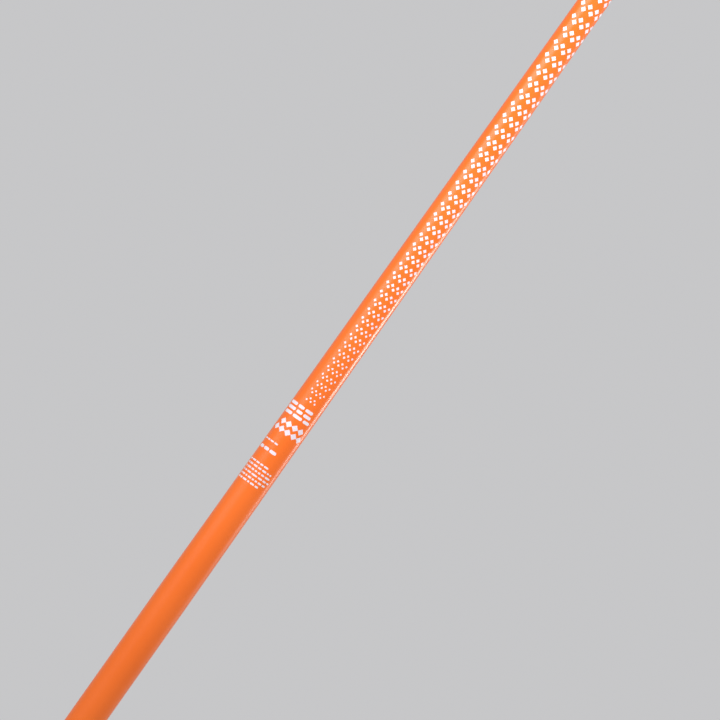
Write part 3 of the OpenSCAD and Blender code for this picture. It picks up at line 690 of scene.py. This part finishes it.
def make_sleeve():
    """Soft sleeve: finger grooves with fine ribs in front, and a field of raised studs in the palm."""
    sides, steps = 240, 260
    low, high = SLEEVE_LOW.z, SLEEVE_HIGH.z

    def relief(z, turn):
        """How far the surface moves out at a height and a share of the way round from +X towards +Y."""
        ribs = hump(turn, 0.25, 0.2) * groove_at(z) * (0.5 + 0.5 * math.cos(math.tau * z / 2.4))
        studs = math.cos(math.tau * (turn * 30 + z / 5.2)) + math.cos(math.tau * (turn * 30 - z / 5.2))
        palm = rise(hump(turn, 0.75, 0.24), 0.0, 0.4) * window(z, -39, 39, 3) * (1 - rise(studs, -0.2, 0.8))
        bands = hump(z, 46.5, 0.9) + hump(z, -46.5, 0.9)
        return -0.55 * ribs - 0.5 * palm - 0.45 * bands

    rings = []
    for k in range(steps + 1):
        z = low + (high - low) * k / steps
        half = CORE_R + SIDE + 0.5 * hump(z, 0, 62.4)
        front = CORE_R + FRONT - GROOVE_DEPTH * groove_at(z)
        rear = CORE_R + REAR + PALM_SWELL * hump(z, 0, 57.2)
        edge = 0.7 * (1 - min(1.0, min(z - low, high - z) / 0.9)) ** 2
        ring = section(z, half - edge, front - edge, rear - edge, sides)
        outwards = [Vector((p.x, p.y, 0)).normalized() for p in ring]
        rings.append([p + out * relief(z, i / sides) for i, (p, out) in enumerate(zip(ring, outwards))])
    bore = CORE_R + 0.05
    for z in (high, low):
        rings.append([
            Vector((bore * math.cos(math.tau * i / sides), bore * math.sin(math.tau * i / sides), z))
            for i in range(sides)
        ])
    points = [p for ring in rings for p in ring]
    sleeve = build("grip_sleeve_soft", points, grid_faces(len(rings), sides, True), grip_soft, 50.0)
    place(sleeve, "pole", "grip_soft", "grip_sleeve")


# ---- Strap ----

class Route:
    """A line in the strap's plane: v points away from the grip and w down, and a heading of 0 points
    down, 90 away from the grip and 180 up. Each move is (length, turn in degrees)."""

    def __init__(self, v, w, heading, moves):
        self.legs = []
        self.length = 0.0
        for length, turn in moves:
            self.legs.append((self.length, v, w, heading, length, turn))
            v, w, heading = self.along(v, w, heading, length, turn, length)
            self.length += length

    @staticmethod
    def along(v, w, heading, length, turn, at):
        """Place and heading at a distance along one move."""
        start = math.radians(heading)
        if turn == 0:
            return v + at * math.sin(start), w + at * math.cos(start), heading
        radius = length / math.radians(turn)
        end = start + at / radius
        v += radius * (math.cos(start) - math.cos(end))
        w += radius * (math.sin(end) - math.sin(start))
        return v, w, math.degrees(end)

    def at(self, s):
        leg = [leg for leg in self.legs if leg[0] <= s + 1e-9][-1] if s > 0 else self.legs[0]
        return self.along(*leg[1:], s - leg[0])

    def stations(self, start, end, line_step=2.5, turn_step=7.0):
        """Distances from start to end, close together where the route bends."""
        found = [start, end]
        for first, _, _, _, length, turn in self.legs:
            count = max(1, math.ceil(length / line_step), math.ceil(abs(turn) / turn_step))
            found += [first + length * k / count for k in range(count + 1)]
        inside = sorted(s for s in found if start <= s <= end)
        kept = [inside[0]]
        for s in inside[1:]:
            if s - kept[-1] > 0.02:
                kept.append(s)
        return kept


def strap_point(place_on_route, x, out):
    """A point of the strap, moved across by x and to the outside of the loop by out."""
    v, w, heading = place_on_route
    a = math.radians(heading)
    return Vector((x, HINGE.y - (v - out * math.cos(a)), HINGE.z - (w + out * math.sin(a))))


def strip(name, route, distances, section_at, material, angle=40.0):
    """A closed ribbon along a route. section_at(s) gives its ring of (x, out)."""
    sections = [section_at(s) for s in distances]
    rings = [
        [strap_point(route.at(s), x, out) for x, out in ring] for s, ring in zip(distances, sections)
    ]
    weave = [(x, s) for s, ring in zip(distances, sections) for x, _ in ring]
    return loft(name, rings, material, angle, weave)


def to_radius(radius, turn):
    """A move round an arc of a given radius."""
    return (radius * math.radians(abs(turn)), turn)


# The loop's centreline, as in the CAD source
bend_v = BEND_R * (1 - math.cos(math.radians(BEND_TURN)))
bend_w = DROP + BEND_R * math.sin(math.radians(BEND_TURN))
head_sin, head_cos = math.sin(math.radians(RETURN_HEAD)), math.cos(math.radians(RETURN_HEAD))
arc_dv = math.cos(math.radians(BEND_TURN)) - head_cos
arc_dw = head_sin - math.sin(math.radians(BEND_TURN))
ARC_R = (bend_w * head_sin - bend_v * head_cos) / (arc_dv * head_cos - arc_dw * head_sin)
RETURN_LENGTH = -(bend_v + ARC_R * arc_dv) / head_sin
ARC_TURN = RETURN_HEAD - BEND_TURN
loop_line = Route(0, 0, 0, [(DROP, 0), to_radius(BEND_R, BEND_TURN), to_radius(ARC_R, ARC_TURN),
                            (RETURN_LENGTH, 0)])
LOOP = loop_line.length


def wrap_moves(radius, height, fillet=1.5):
    """Moves once round the pin and back out, for a layer that comes in and leaves at a height from the
    pin's middle. Also gives how far from the pin the first bend starts."""
    lean = math.degrees(math.acos((fillet + height) / (fillet + radius)))
    reach = (fillet + radius) * math.sin(math.radians(lean))
    return [to_radius(fillet, -lean), to_radius(radius, 180 + 2 * lean), to_radius(fillet, -lean)], reach


def webbing_route():
    """The whole webbing: up the free tail, in and round the pin, round the loop, in and round the pin again."""
    inner_layer, outer_layer = LAYER_PITCH / 2, 1.5 * LAYER_PITCH
    pin_v = HINGE.y - PIN_Y                      # the pin's place, on the far side of the hinge
    inner_r = PIN_R + 0.05 + WEBBING_T / 2
    outer_wrap, outer_reach = wrap_moves(inner_r + LAYER_PITCH, outer_layer)
    inner_wrap, inner_reach = wrap_moves(inner_r, inner_layer)
    entry_turn = 270 - RETURN_HEAD
    entry_r = 2.9
    grip_side_r = 1.5
    # the sloping run meets the layer's height this far before the hinge
    rise_left = -inner_layer / math.cos(math.radians(RETURN_HEAD - 180))
    tangent = entry_r * math.tan(math.radians(entry_turn / 2))
    left = rise_left + tangent
    entry_v = -rise_left * head_sin - tangent     # v where the layer is level again
    tail_start = TAIL_LENGTH + WEBBING_T * 2 + 1  # distance from the hinge
    tail_v = -tail_start * head_sin - LAYER_PITCH * head_cos
    tail_w = -tail_start * head_cos + LAYER_PITCH * head_sin
    in_length = entry_v - pin_v
    moves = [(tail_start - left, 0), to_radius(entry_r + LAYER_PITCH, entry_turn), (in_length - outer_reach, 0)]
    moves += outer_wrap
    moves += [(-grip_side_r - pin_v - outer_reach, 0), to_radius(grip_side_r, -90)]
    moves += [(DROP - outer_layer - grip_side_r, 0), to_radius(BEND_R, BEND_TURN), to_radius(ARC_R, ARC_TURN)]
    moves += [(RETURN_LENGTH - left, 0), to_radius(entry_r, entry_turn), (in_length - inner_reach, 0)]
    moves += inner_wrap
    moves += [(-3.4 - pin_v - inner_reach, 0)]
    return Route(tail_v, tail_w, RETURN_HEAD, moves)


def webbing_section(_):
    """Ring of the webbing: a flat middle, a dip and a round selvedge on each side."""
    half_w, half_t = WEBBING_W / 2, WEBBING_T / 2
    upper = [(-half_w, 0.3), (-half_w + 0.25, 0.75), (-half_w + 0.9, 1.0), (-half_w + 1.5, 0.82),
             (-half_w + 2.2, 0.94), (-4, 0.94), (0, 0.94)]
    upper += [(-x, t) for x, t in reversed(upper[:-1])]
    return [(x, t * half_t) for x, t in upper] + [(x, -t * half_t) for x, t in reversed(upper)]


def make_webbing():
    route = webbing_route()
    distances = route.stations(0, route.length)
    webbing = strip("webbing", route, distances, webbing_section, strap_cloth)
    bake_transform(webbing)
    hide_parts("strap_webbing", "strap_inner", "strap_tail")


PAD_START = DROP - PAD_REACH
PAD_END = DROP + BEND_R * math.radians(BEND_TURN) + PAD_REACH
PAD_FACE = -WEBBING_T / 2 - 0.05


def pad_shape(s):
    """Shares of the pad's full width and thickness at a distance along it, with round ends."""
    left = min(s - PAD_START, PAD_END - s)
    u = min(1.0, left / 11.0)
    round_end = math.sqrt(max(0.0, 1 - (1 - u) ** 2))
    return 0.3 + 0.7 * round_end, 0.35 + 0.65 * min(1.0, left / 3.0) ** 0.5


def make_pad():
    """Foam pad with rounded edges, a sewn channel inside its edge and shallow cross quilting."""
    count = 48

    def section_at(s):
        width, thick = pad_shape(s)
        ring = []
        for i in range(count):
            a = math.tau * i / count
            x = PAD_W / 2 * width * signed_power(math.cos(a), 0.55)
            t = signed_power(math.sin(a), 0.55)
            inside = PAD_W / 2 * width - abs(x)
            channel = 0.55 * hump(inside, 3.4, 1.1)
            quilt = 0.4 * hump((s - PAD_START) % 13.0, 6.5, 1.6) * rise(inside, 3.5, 6.0)
            crown = 0.3 * rise(inside, 3.0, 12.0)
            depth = PAD_T * thick
            wrist = max(0.0, -t)
            out = PAD_FACE - depth / 2 + t * depth / 2 + wrist * (channel + quilt - crown)
            ring.append((x, out))
        return ring

    distances = loop_line.stations(PAD_START, PAD_END, 1.3, 2.5)
    pad = strip("wrist_pad", loop_line, distances, section_at, pad_cloth, 60.0)
    place(pad, "strap", "pad", "strap_pad")


def make_stitches():
    """Bars of stitching that hold the pad on the webbing, and a row of stitches round the pad."""
    heap = Heap()
    across, length = 15.0, 2.4
    outside = WEBBING_T / 2 + 0.02
    for s in (PAD_START + 6, PAD_START + 16, PAD_END - 16, PAD_END - 6):
        strands = 31
        for k in range(strands):
            x = across * (k / (strands - 1) - 0.5)
            slant = 0.25 if k % 2 else -0.25
            start = strap_point(loop_line.at(s - length / 2), x - slant, outside)
            end = strap_point(loop_line.at(s + length / 2), x + slant, outside)
            heap.strand(start, end, 0.27)
    place(heap.finish("bar_stitches", thread_orange, 60.0), "strap", "thread", "strap_bartacks")
    rows = Heap()
    stitch, gap = 2.6, 1.1
    s = PAD_START + 7
    while s + stitch < PAD_END - 6:
        width, _ = pad_shape(s + stitch / 2)
        x = PAD_W / 2 * width - 3.4
        for side in (-1, 1):
            start = strap_point(loop_line.at(s), side * x, PAD_FACE - PAD_T + 0.42)
            end = strap_point(loop_line.at(s + stitch), side * x, PAD_FACE - PAD_T + 0.42)
            rows.strand(start, end, 0.3)
        s += stitch + gap
    place(rows.finish("pad_stitches", thread_orange, 60.0), "strap", "thread")


def make_tab():
    """Moulded tab on the free end, with ridges to pull it by."""
    s_end = LOOP - TAIL_LENGTH - WEBBING_T * 2 - 1 - 0.05
    s_start = s_end - 13.0
    low, high = WEBBING_T / 2 + 0.1, WEBBING_T / 2 + 0.1 + WEBBING_T + 1.2
    count = 40

    def section_at(s):
        left = s - s_start
        end_share = math.sqrt(max(0.0, 1 - (1 - min(1.0, left / 5.0)) ** 2))
        width = (0.5 + 0.5 * end_share) * (WEBBING_W + 1) / 2
        thick = (0.45 + 0.55 * min(1.0, left / 1.6)) * (0.8 + 0.2 * min(1.0, (s_end - s) / 1.5))
        ridge = 0.45 * max(0.0, math.sin(math.tau * (left - 1.0) / 2.6)) * window(left, 1.2, 9.0, 0.5)
        ring = []
        for i in range(count):
            a = math.tau * i / count
            t = signed_power(math.sin(a), 0.5)
            x = width * signed_power(math.cos(a), 0.4)
            upper = max(0.0, t) * (1 - rise(abs(x), width - 3.2, width - 1.8))
            out = low + (high - low) * (0.5 + 0.5 * t * thick) - 0.45 * max(0.0, t) + ridge * upper
            ring.append((x, out))
        return ring

    distances = [s_start + 13.0 * k / 56 for k in range(57)]
    rings = [[strap_point(loop_line.at(s), x, out) for x, out in section_at(s)] for s in distances]
    tab = loft("strap_tab", rings, strap_plastic, 50.0)
    place(tab, "strap", "strap_moulding", "strap_end_tab")


def make_keeper():
    """Moulded loop round the strap and its tail, with a rounded section and a raised middle."""
    low, high = -WEBBING_T / 2 - 0.4, WEBBING_T / 2 + 0.1 + WEBBING_T + 0.4
    wall, length, corner = 1.4, 9.0, 0.6
    half_w = WEBBING_W / 2 + 0.4 + wall / 2
    half_t = (high - low) / 2 + wall / 2
    middle = (high + low) / 2
    centre = LOOP - 30.0
    profile_steps = 56
    path = []
    for cx, ct, first in ((1, 1, 0), (-1, 1, 90), (-1, -1, 180), (1, -1, 270)):
        for k in range(9):
            a = math.radians(first + 90 * k / 8)
            r = corner + wall / 2
            path.append((cx * (half_w - r) + r * math.cos(a), ct * (half_t - r) + r * math.sin(a), a))
    profile = []
    for k in range(profile_steps):
        a = math.tau * k / profile_steps
        along = length / 2 * signed_power(math.cos(a), 0.5)
        thick = wall / 2 * signed_power(math.sin(a), 0.5)
        if thick > 0:
            thick += 0.2 * hump(along, 0, length / 2)
        profile.append((along, thick))
    points = []
    for x, t, a in path:
        for along, thick in profile:
            place_here = loop_line.at(centre + along)
            points.append(strap_point(place_here, x + thick * math.cos(a), middle + t + thick * math.sin(a)))
    keeper = build("strap_keeper_loop", points, grid_faces(len(path), profile_steps, True), strap_plastic, 50.0)
    place(keeper, "keeper", "strap_moulding", "strap_keeper")


# ---- Ferrule and basket ----

def make_ferrule():
    """Nylon ferrule with flutes on its sleeve and a knurled flange."""
    socket_z = SHAFT_LOW.z - 0.05
    guard_r, seat_r, flange_r = 6.0, 7.4, FERRULE_HIGH.x
    start_z, top_z = FERRULE_LOW.z, FERRULE_HIGH.z
    groove_z = start_z + 34.0
    seat_z = groove_z + 2.4
    flange_z = seat_z + 14.0
    sleeve_z = flange_z + 3.2
    base_r = shaft_radius(sleeve_z) + 2.35
    top_r = shaft_radius(top_z) + 1.75
    profile = [
        (0, socket_z), (SHAFT_END_R + 0.05, socket_z), (shaft_radius(top_z) + 0.05, top_z),
        (top_r - 0.7, top_z), (top_r - 0.15, top_z - 0.4), (top_r, top_z - 1.2),
        (base_r, sleeve_z + 1.5), (base_r + 0.8, sleeve_z + 0.3), (base_r + 1.8, sleeve_z),
        (flange_r - 0.5, sleeve_z - 0.5), (flange_r, sleeve_z - 1), (flange_r, flange_z + 0.6),
        (flange_r - 0.2, flange_z + 0.15), (flange_r - 0.6, flange_z), (seat_r, flange_z),
        (seat_r, seat_z), (seat_r - 1, seat_z), (seat_r - 1, groove_z), (seat_r, groove_z),
        (seat_r, groove_z - 1), (guard_r, start_z + 16), (guard_r, start_z + 0.6),
        (guard_r - 0.2, start_z + 0.2), (guard_r - 0.6, start_z), (3.55, start_z),
        (3.55, start_z + 18.05), (0, start_z + 18.05),
    ]
    flutes = 10

    def shape(r, z, turn):
        near = abs((turn * flutes) % 1 - 0.5) * 2
        on_sleeve = window(z, sleeve_z + 6, top_z - 8, 3) * rise(r, shaft_radius(z) + 0.6, shaft_radius(z) + 1.2)
        knurl = rise(r, flange_r - 0.3, flange_r) * 0.22 * (math.cos(math.tau * 48 * turn) - 1)
        return r - 0.7 * on_sleeve * rise(near, 0.45, 0.9) + knurl

    ferrule = turned("ferrule_nylon", refined(profile, 1.5), ferrule_nylon, sides=240, shape=shape)
    place(ferrule, "pole", "ferrule", "ferrule")


HUB_MIDDLE = (HUB_LOW.z + HUB_HIGH.z) / 2
HUB_R = 11.05
BOSS_R = HUB_HIGH.x + 2.6
BOSS_HALF = 2.6
BEAD_R = 2.2
BEAD_AT = DISC_HIGH.x - BEAD_R
WEB_HALF = 1.2
BASKET_DROP = 5.0
WINDOWS = 6
SPOKE_HALF = 4.5


def make_hub():
    """Hub that turns on the ferrule, with ribs for the fingers above and below the web."""
    rim_r, bore_r = HUB_HIGH.x, 7.45
    low, high = HUB_LOW.z, HUB_HIGH.z
    profile = [
        (bore_r, low + 0.3), (bore_r + 0.3, low), (HUB_R - 0.8, low), (HUB_R, low + 0.8),
        (HUB_R, HUB_MIDDLE - 1), (rim_r, HUB_MIDDLE - 1), (rim_r, HUB_MIDDLE + 1), (HUB_R, HUB_MIDDLE + 1),
        (HUB_R, high - 0.8), (HUB_R - 0.8, high), (bore_r + 0.3, high), (bore_r, high - 0.3),
        (bore_r, low + 0.3),
    ]

    def shape(r, z, turn):
        near = abs((turn * 12 + 0.5) % 1 - 0.5) * math.tau / 12 * HUB_R
        tall = window(z, low + 1.6, HUB_MIDDLE - 2.7, 0.4) + window(z, HUB_MIDDLE + 2.7, high - 1.6, 0.4)
        on_wall = rise(r, HUB_R - 0.4, HUB_R - 0.1)
        return r + 0.75 * on_wall * tall * math.sqrt(max(0.0, 1 - (near / 1.1) ** 2))

    hub = turned("basket_hub_ribbed", refined(profile, 0.5)[:-1], basket_hard, sides=288, shape=shape)
    place(hub, "basket", "basket_hard", "basket_hub")


def web_middle(r):
    """Height of the middle of the basket's web at a distance from the axis."""
    share = (r - BOSS_R) / (BEAD_AT - BOSS_R)
    return HUB_MIDDLE - BASKET_DROP * max(0.0, share)


def web_half(r, spoke_distance):
    """Half the thickness of the disc: boss, web and rim bead. The top also has a rib along each spoke."""
    boss = (BOSS_HALF - WEB_HALF) * (1 - rise(r, BOSS_R - 1.2, BOSS_R + 0.4))
    bead = math.sqrt(max(0.0, BEAD_R ** 2 - (r - BEAD_AT) ** 2)) if r > BEAD_AT - BEAD_R else 0.0
    web = WEB_HALF if r < BEAD_AT else 0.0
    half = max(web + boss, bead)
    rib = 1.3 * (1 - rise(spoke_distance, 0.6, 1.3)) * window(r, BOSS_R, BEAD_AT - 2.5, 1.5)
    return half, half + rib


def make_disc():
    """Dished disc with windows. The windows are rounded rectangles in polar coordinates."""
    inner_edge, outer_edge = BOSS_R + 1.6, BEAD_AT - BEAD_R + 0.4
    hub_edge, rim_edge = HUB_R + 0.05, DISC_HIGH.x
    around, edge_round, corner_power = 96, 0.8, 7.0
    sector = math.tau / WINDOWS
    shares = [0, 0.01, 0.04, 0.09, 0.17, 0.28, 0.42, 0.56, 0.68, 0.76, 0.84, 0.92, 1]
    middle = (inner_edge + outer_edge) / 2
    half_r = (outer_edge - inner_edge) / 2
    frame_low, frame_high = inner_edge - 1.2, outer_edge + 1.4

    def window_point(c, s):
        """(radius, angle) on the edge of a window, in the direction (c, s) from its middle."""
        reach = (abs(c) ** corner_power + abs(s) ** corner_power) ** (-1 / corner_power)
        r = middle + half_r * s * reach
        return r, c * reach * (sector / 2 - math.asin(SPOKE_HALF / r))

    def frame_point(c, s):
        """(radius, angle) on the edge of the sector, in the same direction."""
        largest = max(abs(c), abs(s))
        r = frame_low + (frame_high - frame_low) * (s / largest + 1) / 2
        return r, c / largest * sector / 2

    def both_sides(r, phi, turn, edge_share=1.0):
        from_spoke = abs(r * math.sin(sector / 2 - abs(phi)))
        low, high = web_half(r, from_spoke)
        a = phi + turn
        z = web_middle(min(r, BEAD_AT))
        x, y = r * math.cos(a), r * math.sin(a)
        return (x, y, z + high * edge_share), (x, y, z - low * edge_share)

    heap = Heap()
    corner_angles = [math.tau * i / around for i in range(around)]
    rim_angles = []
    for k in range(WINDOWS):
        top, bottom = [], []
        turn = sector * (k + 0.5)
        for share in shares:
            upper, lower = [], []
            for a in corner_angles:
                r0, phi0 = window_point(math.cos(a), math.sin(a))
                r1, phi1 = frame_point(math.cos(a), math.sin(a))
                r, phi = r0 + (r1 - r0) * share, phi0 + (phi1 - phi0) * share
                distance = math.hypot(r - r0, (phi - phi0) * r)
                near = min(1.0, distance / edge_round)
                high, low = both_sides(r, phi, turn, math.sqrt(1 - (1 - near) ** 2))
                upper.append(high)
                lower.append(low)
                if share == 1 and math.isclose(r1, frame_high):
                    rim_angles.append(phi1 + turn)
            top += upper
            bottom += lower
        heap.add(top, grid_faces(len(shares), around))
        heap.add(bottom, grid_faces(len(shares), around))

    # full rings inside and outside the windows, through the same angles
    angles = sorted({round(a % math.tau, 7) for a in rim_angles})
    inner_radii = [hub_edge + (frame_low - hub_edge) * k / 10 for k in range(11)]
    outer_start = math.acos((frame_high - BEAD_AT) / BEAD_R)
    outer_radii = [BEAD_AT + BEAD_R * math.cos(outer_start * (1 - k / 12)) for k in range(13)]

    def ring(r):
        rows = []
        for a in angles:
            phi = (a % sector) - sector / 2
            rows.append(both_sides(r, phi, a - phi))
        return rows

    for radii in (inner_radii, outer_radii):
        rings = [ring(r) for r in radii]
        for side in (0, 1):
            heap.add([p[side] for row in rings for p in row], grid_faces(len(rings), len(angles)))
    bore = ring(hub_edge)
    heap.add([p[0] for p in bore] + [p[1] for p in bore], grid_faces(2, len(angles)))
    disc = heap.finish("basket_disc_soft", basket_soft, 50.0)
    place(disc, "basket", "basket_soft", "basket_disc")


def paint_cad_nodes():
    """Metal parts and the plug keep their CAD shapes."""
    for node, material in (("shaft_plug", plug_white), ("strap_pin", steel), ("tip_holder", steel),
                           ("tip_insert", carbide), ("basket_clip", steel)):
        slots = frame["nodes"][node].data.materials
        slots.clear()
        slots.append(material)


# ---- Camera, floor and light ----

PALE = (0.57, 0.57, 0.58)        # backdrop
FLOOR_TONE = (0.91, 0.91, 0.92)  # so that the lit floor comes out as pale as the backdrop
PICTURE = 720.0                  # side of the picture, in pixels
PIXEL_MM = 0.515
AIM = Vector((0, -8.3, -425.2))  # the point in the middle of the picture
DISTANCE = 2500.0


def make_camera():
    """Looks along -X, turned so that the shaft rises to the right with its tip end up."""
    data = bpy.data.cameras.new("camera")
    camera = bpy.data.objects.new("camera", data)
    bpy.context.scene.collection.objects.link(camera)
    back = Vector((1, 0, 0))
    up = Vector((0, 0.5773, -0.8165)).normalized()
    right = up.cross(back)
    camera.matrix_world = Matrix((
        (right.x, up.x, back.x, (AIM.x + DISTANCE) * MM),
        (right.y, up.y, back.y, AIM.y * MM),
        (right.z, up.z, back.z, AIM.z * MM),
        (0, 0, 0, 1),
    ))
    data.sensor_width = 36.0
    data.lens = data.sensor_width * DISTANCE / (PICTURE * PIXEL_MM)
    data.clip_start, data.clip_end = 0.1, 60.0
    bpy.context.scene.camera = camera


def make_floor():
    """Pale disc under the tip that fades out towards its edge, so that no horizon shows."""
    sides, radius = 96, 3500.0
    points = [(0, 0, TIP_LOW.z)]
    points += [
        (radius * math.cos(math.tau * i / sides), radius * math.sin(math.tau * i / sides), TIP_LOW.z)
        for i in range(sides)
    ]
    faces = [(0, 1 + i, 1 + (i + 1) % sides) for i in range(sides)]
    material = bpy.data.materials.new("floor")
    material.use_nodes = True
    nodes, links = material.node_tree.nodes, material.node_tree.links
    bsdf = nodes["Principled BSDF"]
    bsdf.inputs["Base Color"].default_value = (*FLOOR_TONE, 1)
    bsdf.inputs["Roughness"].default_value = 0.9
    where = nodes.new("ShaderNodeTexCoord").outputs["Object"]
    length = nodes.new("ShaderNodeVectorMath")
    length.operation = "LENGTH"
    links.new(where, length.inputs[0])
    fade = nodes.new("ShaderNodeMapRange")
    fade.interpolation_type = "SMOOTHSTEP"
    for socket, value in (("From Min", 1.2), ("From Max", 3.3), ("To Min", 1.0), ("To Max", 0.0)):
        fade.inputs[socket].default_value = value
    links.new(length.outputs["Value"], fade.inputs["Value"])
    links.new(fade.outputs["Result"], bsdf.inputs["Alpha"])
    floor = build("floor", points, faces, material)
    floor.visible_glossy = False


def make_world():
    """Plain pale backdrop, and an even light from all sides."""
    world = bpy.data.worlds.new("studio")
    bpy.context.scene.world = world
    world.use_nodes = True
    nodes, links = world.node_tree.nodes, world.node_tree.links
    nodes.clear()
    path = nodes.new("ShaderNodeLightPath")
    seen = maths(nodes, links, "MAXIMUM", path.outputs["Is Camera Ray"], path.outputs["Is Glossy Ray"])
    seen = maths(nodes, links, "MAXIMUM", seen, path.outputs["Is Transmission Ray"])
    light = nodes.new("ShaderNodeBackground")
    light.inputs["Color"].default_value = (1, 1, 1, 1)
    light.inputs["Strength"].default_value = 0.41
    backdrop = nodes.new("ShaderNodeBackground")
    backdrop.inputs["Color"].default_value = (*PALE, 1)
    backdrop.inputs["Strength"].default_value = 1.0
    mix = nodes.new("ShaderNodeMixShader")
    links.new(seen, mix.inputs["Fac"])
    links.new(light.outputs["Background"], mix.inputs[1])
    links.new(backdrop.outputs["Background"], mix.inputs[2])
    output = nodes.new("ShaderNodeOutputWorld")
    links.new(mix.outputs["Shader"], output.inputs["Surface"])


def softbox(name, at, aim, width, height, radiance, spread=180.0, mirrored=True):
    """Area lamp in metres. Radiance is how bright its face looks, where 1 is white."""
    data = bpy.data.lights.new(name, "AREA")
    data.shape = "RECTANGLE"
    data.size, data.size_y = width, height
    data.energy = radiance * math.pi * width * height
    data.spread = math.radians(spread)
    lamp = bpy.data.objects.new(name, data)
    lamp.location = at
    lamp.rotation_euler = (Vector(aim) - Vector(at)).to_track_quat("-Z", "Y").to_euler()
    bpy.context.scene.collection.objects.link(lamp)
    lamp.visible_camera = False
    lamp.visible_glossy = mirrored


def make_lamps():
    # broad soft highlight on the left third of the shaft, brighter towards the tip
    softbox("key", (1.12, 1.20, -0.76), (0, 0, -0.76), 1.5, 0.6, 1.36, 80.0)
    # low box aimed up the shaft, so that the light falls off towards the grip
    softbox("low", (0.85, -0.25, -0.98), (0, 0, -0.60), 0.5, 0.16, 3.4, 55.0, mirrored=False)
    # tall box behind the shaft's right side, for the streak along it
    softbox("streak", (-0.70, -1.30, -0.47), (0, 0, -0.47), 0.4, 0.16, 3.0, 60.0)
    # broad light from above, and one for the far side
    softbox("top", (0.4, -0.3, 2.2), (0, 0, -0.4), 2.2, 2.2, 0.6)
    softbox("back", (-1.6, 0.4, 1.0), (0, 0, -0.5), 1.2, 1.2, 1.2)


bpy.context.scene.view_settings.view_transform = "Standard"
make_camera()
make_world()
make_floor()
make_lamps()
make_shaft()
make_print()
make_core()
make_cap()
make_wedge()
make_sleeve()
make_webbing()
make_pad()
make_stitches()
make_tab()
make_keeper()
make_ferrule()
make_hub()
make_disc()
paint_cad_nodes()
